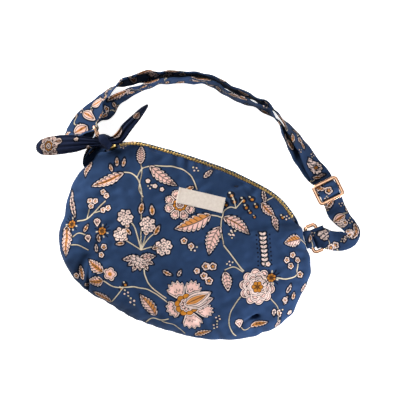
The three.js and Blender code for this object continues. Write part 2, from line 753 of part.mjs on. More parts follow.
function strapPiece() {
  const stations = [
    ...adjusterStations(SEWN_END),
    ...edgeStations(INNER_RUN, false),
    ...leftRingTurn(),
    ...edgeStations(OUTER_RUN, true),
    ...adjusterStations(OVER_BAR),
    ...lastRunStations(),
    ...rightRingTurn(),
  ];
  return band(stations, STRAP.width);
}

// A loop of cloth from the side seam round the near bar of a ring. It leaves the seam lying flat and
// twists on its way to line up with the bar.
function tabLoop(bar, barAxis, leaves) {
  const turn = leaves.angle * RAD;
  const edge = (at) => direction(at / RAD).multiplyScalar(outlineRadius(at));
  const small = 0.05;
  const seamSide = edge(turn + small).sub(edge(turn - small)).normalize();
  const outward = seamSide.clone().cross(UP);
  if (seamSide.dot(barAxis) < 0) {
    seamSide.negate();
  }
  const seam = edge(turn).addScaledVector(outward, leaves.clear).addScaledVector(UP, seamHeight(turn));
  const bend = seam.clone().addScaledVector(outward, TAB.lead);
  const path = new THREE.QuadraticBezierCurve3(seam, bend, bar);
  const back = bend.clone().sub(bar);
  back.addScaledVector(barAxis, -back.dot(barAxis)).normalize();
  const seamFace = outward.clone().cross(seamSide);
  const barFace = barAxis.clone().cross(back);
  const layer = STRAP.thickness / 2 + GAP;
  const leg = (sign) => [0, 0.25, 0.5, 0.75].map((share) => {
    const face = seamFace.clone().lerp(barFace, share).normalize();
    const apart = THREE.MathUtils.lerp(layer, WRAP, share);
    return {
      at: path.getPoint(share).addScaledVector(face, sign * apart),
      side: seamSide.clone().lerp(barAxis, share).normalize(),
    };
  });
  const round = [0, 0.25, 0.5, 0.75, 1].map((share) => ({
    at: bar.clone()
      .addScaledVector(barFace, -Math.cos(share * Math.PI) * WRAP)
      .addScaledVector(back, -Math.sin(share * Math.PI) * WRAP),
    side: barAxis.clone(),
  }));
  return band([...leg(-1), ...round, ...leg(1).reverse()], TAB.width, true);
}

function tabLeft() {
  const bar = point(RING_LEFT.x, RING_LEFT.y, GAP + RING.length / 2)
    .addScaledVector(direction(RING_LEFT.heading), (RING.width - WIRE) / 2);
  return tabLoop(bar, UP.clone(), TAB_LEFT);
}

function tabRight() {
  const bar = point(RING_RIGHT.x, RING_RIGHT.y, RING_RIGHT.z)
    .addScaledVector(direction(RING_RIGHT.heading), -(RING.width - WIRE) / 2);
  return tabLoop(bar, direction(RING_RIGHT.heading + 90), TAB_RIGHT);
}

// One tail of the tie: a flattened tube of cloth, arched across its width
function tail(rows) {
  const path = new THREE.CatmullRomCurve3(rows.map((row) => point(row.x, row.y, row.z)));
  const steps = (rows.length - 1) * 2;
  const sections = [];
  for (let i = 0; i <= steps; i += 1) {
    const reach = (i / steps) * (rows.length - 1);
    const k = Math.min(Math.floor(reach), rows.length - 2);
    const width = THREE.MathUtils.lerp(rows[k].width, rows[k + 1].width, reach - k);
    const arch = THREE.MathUtils.lerp(rows[k].arch, rows[k + 1].arch, reach - k);
    const along = path.getTangent(i / steps);
    const side = along.clone().cross(UP).normalize();
    const face = side.clone().cross(along);
    const upper = [];
    const lower = [];
    for (const across of [-1, -0.6, 0, 0.6, 1]) {
      const rise = arch * (1 - across * across);
      const thick = TAIL_THICKNESS / 2 * (1 - 0.5 * Math.abs(across));
      const at = path.getPoint(i / steps).addScaledVector(side, across * width / 2);
      upper.push(at.clone().addScaledVector(face, rise + thick));
      lower.push(at.clone().addScaledVector(face, rise - thick));
    }
    sections.push([...upper, ...lower.reverse()]);
  }
  return sweep(sections);
}

function zipTie() {
  const core = new THREE.SphereGeometry(KNOT.radius, 14, 10);
  core.scale(1.05, 1, 0.95);
  core.translate(KNOT.x, KNOT.y, KNOT.z);
  const wrap = new THREE.TorusGeometry(KNOT.bandRadius, KNOT.bandTube, 8, 14);
  wrap.scale(1, 1, 1.4);
  wrap.rotateX(90 * RAD);
  wrap.rotateZ(-35 * RAD);
  wrap.translate(KNOT.x, KNOT.y, KNOT.z);
  return fuse(core, wrap, tail(TAIL_LEFT), tail(TAIL_RIGHT));
}

const group = new THREE.Group();

function add(name, geometry, look) {
  const mesh = new THREE.Mesh(geometry, new THREE.MeshStandardMaterial(look));
  mesh.name = name;
  group.add(mesh);
}

add("bag_front", bagFront(), COLOURS.cloth);
add("bag_back", bagBack(), COLOURS.cloth);
add("zip_tape", zipTape(), COLOURS.tape);
add("zip_teeth", zipTeeth(), COLOURS.brass);
add("zip_slider", zipSlider(), COLOURS.brass);
add("zip_tie", zipTie(), COLOURS.cloth);
add("label", labelPiece(), COLOURS.label);
add("tab_left", tabLeft(), COLOURS.cloth);
add("tab_right", tabRight(), COLOURS.cloth);
add("ring_left", ringLeft(), COLOURS.roseGold);
add("ring_right", ringRight(), COLOURS.roseGold);
add("strap", strapPiece(), COLOURS.cloth);
add("strap_slider", strapSlider(), COLOURS.roseGold);

export default group;
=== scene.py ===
"""Looks of the belt bag: printed cloth, zip, metal fittings, floor, light and camera.

Sizes are in millimetres, as in the part's source, and meshes are scaled to metres when they are made.
"""
import math

import bpy
import numpy as np
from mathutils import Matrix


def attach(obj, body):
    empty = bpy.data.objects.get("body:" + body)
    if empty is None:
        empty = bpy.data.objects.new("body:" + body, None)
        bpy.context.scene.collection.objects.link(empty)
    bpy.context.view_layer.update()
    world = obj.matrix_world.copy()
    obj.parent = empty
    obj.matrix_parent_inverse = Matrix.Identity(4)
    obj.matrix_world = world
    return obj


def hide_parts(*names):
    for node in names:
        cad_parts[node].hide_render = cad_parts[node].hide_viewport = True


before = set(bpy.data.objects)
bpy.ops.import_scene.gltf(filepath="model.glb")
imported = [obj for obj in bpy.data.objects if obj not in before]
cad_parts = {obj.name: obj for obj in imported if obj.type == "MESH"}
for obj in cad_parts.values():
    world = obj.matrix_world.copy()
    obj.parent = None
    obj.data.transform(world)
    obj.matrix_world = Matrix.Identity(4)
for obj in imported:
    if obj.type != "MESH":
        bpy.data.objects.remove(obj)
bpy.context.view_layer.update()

MM = 0.001
CIRCLE = 2 * math.pi
QUARTER = math.pi / 2
UP = np.array([0.0, 0.0, 1.0])

# Sizes shared with the part's source
GAP = 0.3
FLOOR_CLEAR = 0.05
CLOTH = 1.6
HALF_LENGTH = 142.5
HALF_WIDTH = 96.6
BAG_THICKNESS = 60.0
FULLNESS = dict(x=6, y=-28, spread_x=80, spread_y=42, rise=5)
DOME = dict(power=2.3, edge=0.5, edge_at_zip=0.92)
SEAM = dict(height=22.0, lift=2.0)
BACK_CURL = 34.0
ZIP = dict(start=33, end=142.5, slider=145.8, fade=6, inset=5.2, front_rise=6.5, back_rise=1.5)
TAPE = dict(thickness=0.8, gap=0.6, width=24)
CHAIN = dict(width=4.6, height=2.2, place=0.6, pitch=1.7)
LABEL = dict(x=-1, y=53, turn=6, length=52, width=17, thickness=0.9, lift=0.45)
STRAP = dict(width=22.5, thickness=1.8)
WIRE = 2.8
WRAP = WIRE / 2 + GAP + STRAP["thickness"] / 2
RING = dict(length=33, width=15, corner=3.2, rest=1.6)
HALF_RING = (RING["width"] - WIRE) / 2
RING_LEFT = dict(x=-136.2, y=87.3, heading=-52.3)
RING_RIGHT = dict(x=134.9, y=54.4, z=7, heading=41.3)
TAB = dict(width=20, lead=9)
TAB_LEFT = dict(angle=157.5, clear=0.95)
TAB_RIGHT = dict(angle=21.5, clear=0.85)
ADJUSTER = dict(x=131.7, y=110.4, z=9, heading=-45, length=24, width=30.5, corner=3)
KNOT = dict(x=-121.6, y=80.2, z=40.6, radius=7.6, band_radius=6, band_tube=3.4)
TAIL_THICKNESS = 2.4
EDGE_POWERS = dict(upper_right=2.15, upper_left=3.2, lower_left=2.55, lower_right=2.25)
# angle in degrees, distance out, spread in degrees
EDGE_BUMPS = [
    (46, 3.2, 13), (136, 3.4, 9), (158, -4.0, 6), (-175, -3.0, 5), (-124, -3.2, 9), (-5, -3.2, 5),
    (20, -3.0, 6),
]
# from x, from y, to x, to y, width, depth: deepest at its start
FOLDS = [
    (-100, -72, -97, -28, 6, 5), (108, -72, 86, -40, 6, 5), (44, 82, 30, 66, 7, 3), (-96, 72, -70, 58, 9, 3),
]
# x, y, z of the strap's lower edge, lean in degrees
INNER_RUN = [
    (118.0, 133.0, 1.6, 8), (107.4, 138.4, 1.0, 17), (95.8, 145.2, 0.6, 25), (82.9, 153.6, 0.6, 40),
    (66.3, 161.8, 0.6, 62), (53.4, 167.3, 0.6, 81), (39.8, 170.1, 0.6, 101), (27.1, 172.0, 0.6, 100),
    (13.5, 173.0, 0.6, 102), (-0.9, 172.9, 0.6, 102), (-13.6, 174.8, 0.6, 102), (-28.2, 178.7, 0.6, 102),
    (-41.5, 178.9, 0.6, 102), (-55.6, 174.5, 0.6, 102), (-70.9, 169.7, 0.6, 101), (-84.4, 163.9, 0.6, 100),
    (-94.3, 157.8, 0.6, 100), (-103.5, 149.4, 0.6, 103), (-112.4, 140.3, 0.6, 108),
    (-119.7, 131.5, 0.6, 112), (-123.9, 122.5, 0.6, 116), (-125.2, 114.2, 0.8, 119),
    (-129.3, 107.0, 1.4, 116), (-136.4, 103.4, 2.4, 100),
]
OUTER_RUN = [
    (-148.0, 82.6, 3.0, 86), (-155.6, 72.6, 1.6, 82), (-164.2, 66.4, 0.8, 78), (-171.2, 70.6, 1.2, 60),
    (-171.8, 80.6, 1.2, 39), (-169.6, 92.4, 0.8, 26), (-164.8, 103.6, 0.6, 25), (-157.1, 116.2, 0.6, 35),
    (-149.2, 128.1, 0.6, 47), (-142.6, 138.0, 0.6, 61), (-133.7, 144.0, 0.6, 84), (-126.1, 146.6, 0.6, 104),
    (-118.0, 151.2, 0.6, 112), (-105.0, 158.2, 0.6, 120), (-92.3, 165.9, 0.6, 112), (-78.6, 172.9, 0.6, 106),
    (-63.0, 179.0, 0.6, 103), (-46.5, 183.4, 0.6, 102), (-30.2, 184.6, 0.6, 102), (-9.8, 181.2, 0.6, 102),
    (14.9, 179.4, 0.6, 101), (37.6, 177.2, 0.6, 97), (54.9, 172.6, 0.6, 79), (69.0, 166.6, 0.6, 65),
    (85.3, 157.8, 0.6, 54), (98.5, 149.2, 0.8, 44), (110.0, 141.4, 2.8, 26), (120.0, 135.2, 5.0, 11),
]
# along the strap from the adjuster's middle bar, height over it
SEWN_END = [
    (-1.2, 2.55), (0, 2.7), (1.9, 1.9), (2.7, 0), (1.9, -1.9), (0, -2.7), (-3, -3.4), (-6, -4.5),
    (-10.6, -5.4), (-15, -6.3),
]
OVER_BAR = [
    (-15, -3.0), (-10.6, -2.9), (-8.4, -1.9), (-6, 0.6), (-3, 3.9), (0, 5.1), (3, 3.9), (6, 0.6),
    (8.4, -1.9), (10.6, -2.9), (15, -4.6),
]
# x, y, z of the strap's middle, direction across it, how far its inner edge is raised
LAST_RUN = [
    (149.4, 91.6, 2.8, -132, 4), (157.6, 85.4, 5.6, -140, 14), (166.6, 81.6, 7.2, -160, 24),
    (172.6, 75.6, 7.8, 175, 28), (172.4, 67.4, 7.2, 145, 26), (165.6, 61.6, 5.2, 118, 14),
    (156.5, 58.6, 5.4, 112, 4), (148.0, 57.8, 9.4, 118, 0),
]
STRAP_END = dict(side=141, past=13, drop=-0.4, inside=4.7, shift=1)
# x, y, z, width, arch of the tie's tails
TAIL_LEFT = [
    (-125.4, 77.4, 42.5, 8, 2.0), (-139.4, 72.4, 43.5, 12.5, 3.2), (-151.6, 67.4, 41.5, 19, 3.6),
    (-166, 61.6, 35, 21.5, 3.0), (-180, 55.4, 26, 21, 2.2), (-189, 51.4, 19, 17, 1.2),
    (-194.5, 49.4, 14.5, 8, 0.4),
]
TAIL_RIGHT = [
    (-118.6, 81.8, 42.5, 7, 2.0), (-109.6, 87.4, 42, 12.5, 2.8), (-104.7, 103.0, 33.5, 12.5, 3.0),
    (-99.0, 118.4, 21.5, 9.5, 2.2), (-95.5, 129.4, 11, 6.5, 1.2), (-93.2, 135.2, 5, 3, 0.4),
]

# Finer shapes of the cloth

# from x, from y, to x, to y, width, depth: sharper creases than the solids carry
CREASES = [
    (-88, -82, -95, -46, 1.7, 4.6), (-104, -66, -100, -40, 4.0, 1.8), (99, -47, 84, -60, 1.8, 5.0),
    (112, -64, 92, -48, 4.0, 2.0), (38, 86, 22, 76, 5.0, 2.4), (52, 82, 42, 66, 4.0, 1.6),
    (-96, 72, -70, 58, 9.0, -2.6), (126, 30, 100, 24, 4.0, 1.8), (130, 16, 104, 14, 3.5, 1.6),
    (130, 2, 108, 4, 4.0, 1.6), (128, 40, 102, 36, 4.0, 1.6), (-132, 30, -108, 22, 5.0, 1.6),
    (-134, -12, -112, -8, 6.0, 1.4), (-130, -34, -110, -28, 6.0, 1.4), (-40, -92, -34, -70, 5.0, 1.4),
    (20, -96, 18, -74, 6.0, 1.4), (70, -86, 60, -66, 5.0, 1.4), (-66, -88, -58, -68, 5.0, 1.6),
]
# height, seed and longest wave of the front's relief
SWELLS = [(1.0, 5, 90), (0.5, 6, 26)]
# height of its puckers along the edge, more of them along the zip, and depth of its hem
RELIEF = dict(edge=0.45, at_zip=0.5, hem=0.45)
RIPPLE_SEEDS = dict(front=3, back=4)
# share of the way to the edge at which each panel tucks in
FRONT_TUCK, BACK_TUCK = 0.985, 0.98
# grid of the outer and the inner face of each panel, +1 where it faces up
FRONT_FACES = (296, 74, 1)
BACK_FACES = (200, 50, -1)
# creases of the strap: their height, how its edges wander, and how far from a metal fitting they begin
CRUMPLE = dict(height=0.75, edge=0.5, calm=14, full=36, count=6, seed=21)
# x, y, reach, edge that spreads (+1 or -1), and its push along x, y and z
STRAP_SPREAD = [
    (-160, 90, 18, 1, 5.2, -1.6, 1.0), (-150, 111, 16, 1, 3.4, -2.4, 0.8),
    (-128, 119, 16, 1, -6.0, 1.5, -2.0), (-149, 82, 9, -1, 3.4, -9.6, 0.0),
]
TAB_SPREAD = [(-131, 57, 17, -1, 11.0, 13.0, 0.0)]
WIRE_SIDES = 14
WIRE_CLEAR = 0.02
THREAD_SIDES = 6
# lift off the cloth, and for the zip the seam's stop on the panel and its share of the cloth
ZIP_STITCH = dict(apart=3.0, length=2.1, radius=0.28, sag=0.22, lift=0.05, stop=0.925, share=0.955)
# share of the label's length at each seam, threads in a seam, and grid steps to a thread
LABEL_STITCH = dict(ends=(0.046, 0.954), count=6, long=3, radius=0.24, sag=0.15, lift=0.02)
# points along the zip's parts, and along and across the bands of cloth
ZIP_STEPS = dict(tape=110, chain=260, seam=2400)
BAND_STEPS = dict(strap=10, strap_across=25, tab=97, tab_across=13, tail=12, tail_across=25)
LABEL_GRID = (72, 26)
KNOT_GRID = (48, 40)
BEVEL = 0.00016  # on the teeth, in metres

# Camera: straight above the point (x, y), turned with the picture
PICTURE = dict(side=400, x=-1.8, y=53.2, turn=19.0, height=1300.0, floor_scale=1.138)
PICTURE_COS, PICTURE_SIN = math.cos(math.radians(PICTURE["turn"])), math.sin(math.radians(PICTURE["turn"]))
SENSOR = 36
FLOOR = dict(reach=3.0, corners=[(-1, -1), (1, -1), (1, 1), (-1, 1)], colour=(0.93, 0.93, 0.93, 1),
             glow=0.92)
WORLD = dict(colour=(0.96, 0.98, 1.0, 1), strength=0.12)
# name, place in metres, size, power, colour
LIGHTS = [
    ("key", (-1.78, 0.72, 0.6), 1.5, 112, (1.0, 0.98, 0.95)),
    ("far_side", (1.74, -0.52, 0.3), 0.8, 98, (0.95, 0.97, 1.0)),
    ("card", (-0.1, 0.2, 2.2), 2.2, 18, (1.0, 1.0, 1.0)),
]

# Colours, as seen on the cloth and metal. The darker grounds of the strap, the tabs and the tie are painted
# shade.
COLOURS = dict(
    ground="#213555", ground_light="#283f63", weft="#1d2f4a", shaded_band_ground="#20324f", shaded_band_patches="#273c5e",
    shaded_band_weft="#1b2a43", shaded_tie_ground="#0e162b", shaded_tie_patches="#131c35", shaded_tie_weft="#0b1222", navy="#070b15",
    rim="#f6dbd0", pink="#efc3b7", ochre="#c07a26", cream="#d9ccb4", tape="#2a3044", tape_shade="#1a2135",
    label="#d8cec5", label_shade="#c9bdb3", brass="#e2c27c", brass_dark="#a98a4c", rose="#f2c3a2",
    rose_dark="#d9a27c", thread="#263a5e", thread_shade="#1a2a48", label_thread="#e8dccd",
    label_thread_shade="#d3c4b2",
)
# layer of the print, ink, most cover
INKS = [
    ("halo", "navy", 0.95), ("pale", "rim", 1), ("gold", "ochre", 1), ("vein", "navy", 1),
    ("cream", "cream", 1),
]
# the layer with a dark line inside its edge, how deep the line starts, and the ink inside it
LINED = dict(layer="pale", depth=-0.95, ink="pink")
SOFT_EDGE = 0.28
# depth of the threads in metres
WEAVE_DEPTH = 0.0002

# Motifs of the front panel by their place in the picture. Lengths are in pixels of the picture too.
PIXEL = 1.1  # millimetres of cloth to a pixel
STEM_HALF, TWIG_HALF = 0.62, 0.5
STEMS = [
    [(124, 172), (131, 173), (137, 178), (141, 188), (142, 204)],
    [(141, 164), (142, 172), (140, 182)],
    [(140, 182), (139, 190), (143, 197)],
    [(137, 178), (141, 170), (150, 166), (163, 166), (180, 168), (191, 176), (197, 189)],
    [(143.5, 265), (145, 276), (150, 286), (158, 292), (166, 298)],
    [(103, 280), (110, 284), (119, 287), (136, 287), (155, 293), (168, 303)],
    [(123, 288), (118, 294), (112, 301)],
    [(146, 322), (153, 318), (160, 320), (168.5, 318.5)],
    [(162, 321), (174.5, 325), (185, 333)],
    [(224, 245.5), (232, 256), (241, 268), (244, 271)],
    [(225, 270), (234, 267), (243, 272)],
    [(242.5, 294), (235, 304), (230, 314), (229, 323), (232, 332), (236, 336)],
    [(210.5, 215), (217, 216), (222, 217), (224, 211), (230, 207), (236, 208)],
    [(222, 217), (221, 226), (223.5, 244)],
    [(236, 208), (234, 200), (231, 195)],
    [(236, 208), (243, 200)],
    [(141, 250), (138, 238), (134, 226), (129, 220)],
    [(141, 250), (141, 232), (141.5, 212)],
    [(141, 250), (145, 238), (147, 228)],
    [(141, 250), (149, 238), (156, 232)],
    [(141, 250), (152, 247), (160, 247)],
    [(141, 250), (132, 244), (122, 238)],
    [(77, 221), (86.5, 219), (93, 213), (99, 207), (105, 201)],
    [(93, 213), (103, 210), (108, 208)],
    [(86.5, 219), (90, 206)],
    [(72, 237), (79, 233), (88, 236)],
    [(70, 245), (78, 245), (88, 250)],
    [(277, 278), (288, 279), (297, 275), (298, 264)],
    [(297, 275), (300.5, 274.6)],
    [(265, 266), (264, 250), (263, 235)],
    [(300, 239), (306, 246)],
    [(261, 204), (268, 200), (274, 197)],
    [(271, 299), (278, 308), (277, 322)],
    [(251, 327), (244, 330), (239, 324)],
]
# base x, base y, tip x, tip y, half width, bend, ochre share
LEAVES = [
    (123.5, 173, 91.5, 186, 5.4, 1.5, 0.3), (150, 166, 177, 185, 5.8, -2.0, 0.0),
    (210.5, 215, 175, 229, 7.6, 2.0, 0.5), (224, 217, 249, 234, 6.4, 2.2, 0.14),
    (220, 227, 209, 254.5, 7.0, -2.5, 0.0), (156, 315, 140, 295, 6.6, -1.2, 0.5),
    (225, 272, 228, 291, 5.2, 0.6, 0.0), (300, 239, 284.5, 243, 6.6, 0.0, 0.55),
    (262, 203, 274, 216, 5.2, -1.6, 0.3), (272.5, 216, 277.5, 231, 3.6, 0.6, 0.0),
    (265, 202.5, 262.5, 190, 2.6, 0.0, 0.0), (92, 162, 85.5, 177, 3.6, -0.6, 0.3),
    (103, 272, 88, 260, 6.2, 0.6, 0.4), (103, 280, 88.5, 281, 6.0, 1.0, 0.4),
    (112, 300.5, 94, 291.5, 5.6, 0.0, 0.44), (67.5, 226, 66.5, 256, 6.6, 0.0, 0.3),
    (82, 280, 80, 266, 3.6, 0.0, 0.44), (75, 218, 72, 190, 2.6, 0.0, 0.0),
    (251, 327, 267, 321, 3.8, 0.6, 0.8), (195, 335, 211, 331, 3.8, 0.6, 0.5),
    (204, 178, 212, 171, 2.8, 0.0, 0.0), (186, 190, 194, 187, 2.4, 0.0, 0.8),
    (117, 166, 117, 158, 1.9, 0.0, 0.9), (123, 167, 125, 159, 1.9, 0.0, 0.9),
    (112, 171, 110, 164, 1.9, 0.0, 0.9), (274, 309, 274, 316, 2.2, 0.0, 0.0),
    (278, 310, 280, 317, 2.2, 0.0, 0.4), (292, 299, 294, 292, 2.2, 0.0, 0.6),
    (287, 293, 291, 284, 2.2, 0.0, 0.0), (301, 291, 306, 283, 2.8, 0.0, 0.2),
    (275, 326, 280, 319, 2.6, 0.0, 0.0), (284, 304, 288, 296, 2.2, 0.0, 0.3),
    (99, 242, 98, 234, 1.9, 0.0, 0.5), (96, 252, 96, 244, 1.9, 0.0, 0.0),
    (163, 271, 172, 275, 2.2, -0.6, 0.6), (178, 276, 181, 270, 1.8, 0.0, 0.0),
]
# x, y, length, heading in degrees with the picture's up as 90
BUDS = [
    (141.5, 208, 5.8, 80), (152, 210, 5.4, 98), (157, 230, 5.4, 60), (128, 231, 4.4, 130),
    (120, 243.6, 4.4, 188), (156, 248, 3.8, 10), (86, 228, 4.4, 60),
]
# x, y, radius of dark berries
SEEDS = [
    (231, 195, 4.4), (234, 201, 4.0), (243, 200, 4.2), (251.5, 198.5, 4.4), (246, 207, 3.6), (256, 206, 3.6),
    (226, 204, 3.4), (250, 212, 2.8), (254, 217, 2.4), (282, 217, 3.4), (125, 284, 3.4), (121, 288, 2.8),
]
# x, y, radius, heading of the fan
CARNATIONS = [(125, 218, 7.4, 110), (147, 225, 7.4, 85), (120, 235, 6.6, 150), (163, 247, 7.8, 5)]
# x, y, radius
BLOSSOMS = [
    (103, 192, 2.8), (106, 195.5, 2.8), (90, 201, 2.8), (95, 201, 2.8), (91, 206, 2.8), (103, 210, 2.8),
    (108, 208, 2.8), (110, 274, 6.4), (148, 181, 2.2), (155, 186, 2.2), (162, 189, 2.0), (184, 241, 3.0),
    (191, 246, 2.8), (206, 266.5, 3.8), (213, 266.5, 3.6), (204, 276, 3.4), (209, 281, 3.6), (197, 271, 2.8),
    (287, 260, 3.0), (291, 266, 3.0), (293, 255, 2.8), (298, 260, 2.8), (300.5, 274.6, 3.2), (104, 247, 3.0),
    (101, 255, 2.8), (285, 300, 2.6), (289, 312, 2.6), (268, 264, 2.2), (76, 276, 3.0), (86, 286, 2.6),
]
# x, y, size, heading
BERRIES = [
    (229, 234, 2.4, 30), (191, 250, 2.2, 30), (125, 290, 2.4, -60), (131, 298, 2.6, -60),
    (219, 316, 2.2, -100), (217, 324, 2.2, -110), (193, 168, 2.2, -30), (148, 186, 2.0, -10),
    (227, 264, 2.0, 20), (121, 148, 1.8, 20), (284, 217, 2.0, -10), (278, 313, 2.0, 40),
    (232, 238, 2.0, 90),
]
CONE = dict(base=(141, 164), tip=(141, 146), half=5.0)  # the upright bud near the zip
CALYX = dict(place=(140, 258), half=4.2, veins=4.2)  # the spiky cup that the fan of stems comes out of
# heading in degrees, length in millimetres
CALYX_SPIKES = [(185, 19), (212, 16), (240, 17), (268, 14), (300, 16), (335, 16), (8, 17)]
UNDER_LABEL = dict(place=(180, 204.5), radius=18, heading=20)
GREAT = dict(place=(186.5, 305), middle=12.5, heading=40)
# base x, base y, tip x, tip y, half width of the large flower's toothed petals
GREAT_PETALS = [
    (184, 303, 172, 281.5, 10.6), (187, 302, 196, 280.5, 9.2), (183, 306, 166.5, 311, 11.4),
    (188, 307.5, 214, 312.5, 8.6), (187.5, 308, 195, 329.5, 12.0),
]
# base x, base y, tip x, tip y, half width, ochre share of its smooth petals
SMOOTH_PETALS = [(187, 306, 213, 298, 6.4, 0.0), (185.5, 304.5, 211, 292, 6.6, 0.62)]
PEONY = dict(place=(257.5, 287), radius=19.5, turn=0.3)
THISTLES = [(271.7, 278, 4.2), (71.4, 224, 4.0), (102, 231, 3.8)]  # x, y, radius of the head
# base x, base y, tip x, tip y, half width of small toothed flowers
TOOTHED = [(97, 227, 97, 218, 4.2), (88.5, 242.5, 87.5, 234.5, 4.0), (240, 329, 238.5, 318.5, 4.6)]
SPIKE = dict(start=(263, 235), end=(265, 265), size=3.6)
# kind, pixel x, pixel y, size in millimetres, heading in degrees across and along the cloth
STRAP_MOTIFS = [
    ("petal", 80, 127, 8.5, 80), ("petal", 86.5, 114, 8.0, 20), ("petal", 96, 101, 8.0, 70),
    ("leaf", 118, 97, 11, 90), ("leaf", 145, 72, 11, 80), ("leaf", 150, 79, 9, 95),
    ("blossom", 101, 113, 4.0, 0), ("blossom", 109, 108, 3.5, 30), ("leaf", 204, 79, 9, 90),
    ("leaf", 172, 73, 8, 85), ("leaf", 281, 123, 9, 90), ("peony", 317, 166, 7.0, 0),
    ("blossom", 302, 140, 3.5, 0), ("petal", 339, 216, 8.0, 0), ("leaf", 331, 206, 7, 40),
    ("leaf", 358, 231, 8, 60), ("blossom", 350, 233, 4.0, 0), ("blossom", 333, 247, 4.0, 0),
    ("blossom", 330, 190, 4.0, 0), ("blossom", 347, 222, 3.5, 0),
]
TIE_MOTIFS = [
    ("flower", 47, 148, 13.5, 0), ("petal", 56, 140, 5.0, 90), ("leaf", 118, 131, 9.0, 90),
    ("petal", 136, 113, 5.5, 90), ("blossom", 90, 149, 2.6, 0), ("blossom", 74, 139, 2.2, 0),
]
# half width and half length of the print on the back, spacing of its motifs, seed of its draws
BACK_PRINT = (150, 105, 40, 11)
BAND_SPACING = 20
BAND_SEEDS = dict(strap=31, tab_left=51, tab_right=52)
TIE_PRINT_SHIFT = 235  # middle of the tie's cloth coordinates


def direction(degrees):
    a = math.radians(degrees)
    return np.array([math.cos(a), math.sin(a), 0.0])


def centre_of(fitting, z=None):
    """The middle of a fitting, at its own height or at another."""
    return np.array([fitting["x"], fitting["y"], fitting["z"] if z is None else z], float)


def beside(x, y, angle, reach):
    """The place at an angle and a distance from (x, y)."""
    return x + reach * math.cos(angle), y + reach * math.sin(angle)


def angles(count, first=0.0):
    """Angles spread evenly round a circle."""
    return [first + CIRCLE * k / count for k in range(count)]


def unit(v):
    return v / np.maximum(np.linalg.norm(v, axis=-1, keepdims=True), 1e-9)


def smooth(low, high, value):
    t = np.clip((value - low) / (high - low), 0, 1)
    return t * t * (3 - 2 * t)


def bell(distance):
    return np.exp(-distance * distance)


def run_lengths(path):
    """Length along a path to each of its points."""
    return np.concatenate([[0], np.cumsum(np.linalg.norm(np.diff(path, axis=0), axis=1))])


def tint(name, shade=1.0):
    """Scene-linear colour of a named colour, dimmed by a factor of painted shade."""
    parts = [int(COLOURS[name][i:i + 2], 16) / 255 for i in (1, 3, 5)]
    linear = [c / 12.92 if c <= 0.04045 else ((c + 0.055) / 1.055) ** 2.4 for c in parts]
    return tuple(shade * c for c in linear) + (1.0,)


# The bag's surfaces, as in the part's source, for arrays of angles

def outline_radius(turn):
    cos, sin = np.cos(turn), np.sin(turn)
    upper = np.where(cos > 0, EDGE_POWERS["upper_right"], EDGE_POWERS["upper_left"])
    lower = np.where(cos > 0, EDGE_POWERS["lower_right"], EDGE_POWERS["lower_left"])
    power = np.where(sin > 0, upper, lower)
    radius = (np.abs(cos / HALF_LENGTH) ** power + np.abs(sin / HALF_WIDTH) ** power) ** (-1 / power)
    for angle, out, spread in EDGE_BUMPS:
        away = (np.degrees(turn) - angle + 180) % 360 - 180
        radius = radius + out * bell(away / spread)
    return radius


def seam_height(turn):
    return SEAM["height"] + SEAM["lift"] * np.sin(turn)


def zip_share(turn):
    degrees = np.degrees(turn) % 360
    opens = smooth(ZIP["start"] - ZIP["fade"], ZIP["start"], degrees)
    closes = 1 - smooth(ZIP["slider"] + 2, ZIP["slider"] + 2 + ZIP["fade"], degrees)
    return opens * closes


def front_edge(turn):
    return outline_radius(turn) - zip_share(turn) * ZIP["inset"]


def fold_depth(x, y, folds):
    depth = np.zeros_like(x)
    for from_x, from_y, to_x, to_y, width, deep in folds:
        run_x, run_y = to_x - from_x, to_y - from_y
        reach = ((x - from_x) * run_x + (y - from_y) * run_y) / (run_x ** 2 + run_y ** 2)
        along = np.clip(reach, 0, 1)
        away = np.hypot(x - from_x - along * run_x, y - from_y - along * run_y)
        depth += deep * (1 - along) * bell(away / width)
    return depth


def front_point(turn, drop):
    zip_at = zip_share(turn)
    edge_height = seam_height(turn) + zip_at * ZIP["front_rise"]
    share = np.sin(drop)
    x, y = np.cos(turn) * front_edge(turn) * share, np.sin(turn) * front_edge(turn) * share
    edge = DOME["edge"] + (DOME["edge_at_zip"] - DOME["edge"]) * zip_at
    dome = np.maximum(0, 1 - np.abs(share) ** DOME["power"]) ** edge
    off_x, off_y = (x - FULLNESS["x"]) / FULLNESS["spread_x"], (y - FULLNESS["y"]) / FULLNESS["spread_y"]
    full = FULLNESS["rise"] * bell(np.hypot(off_x, off_y))
    height = edge_height + (BAG_THICKNESS - edge_height) * dome
    return np.stack([x, y, height + (1 - share ** 8) * (full - fold_depth(x, y, FOLDS))], axis=-1)


def back_point(turn, rise):
    edge_height = seam_height(turn) - GAP + zip_share(turn) * ZIP["back_rise"]
    bend = np.clip(rise, 0, 1) * QUARTER
    radius = outline_radius(turn) - BACK_CURL * (1 - np.sin(bend))
    return np.stack([np.cos(turn) * radius, np.sin(turn) * radius, edge_height * (1 - np.cos(bend))], axis=-1)


def whole_back(turn, share):
    """The back panel from its middle: flat, and then curling up. share 0 to 0.6 is the flat."""
    flat = 0.6
    radius = (outline_radius(turn) - BACK_CURL) * np.clip(share / flat, 0, 1)
    lying = np.stack([np.cos(turn) * radius, np.sin(turn) * radius, np.zeros_like(radius)], axis=-1)
    curled = back_point(turn, (share - flat) / (1 - flat))
    return np.where((share < flat)[..., None], lying, curled)


def panel_frame(panel, turn, step, outside):
    """Point on a panel and its outward direction. outside is +1 front, -1 back."""
    small = 0.004
    at = panel(turn, step)
    down = unit(at - panel(turn, step - small))
    around = unit(panel(turn + small, step) - panel(turn - small, step))
    out = unit(np.cross(around, down))
    wanted = np.stack([np.cos(turn), np.sin(turn), np.full_like(turn, outside)], axis=-1)
    sign = np.where(np.sum(out * wanted, axis=-1) < 0, -1.0, 1.0)
    return at, out * sign[..., None]


# Making meshes

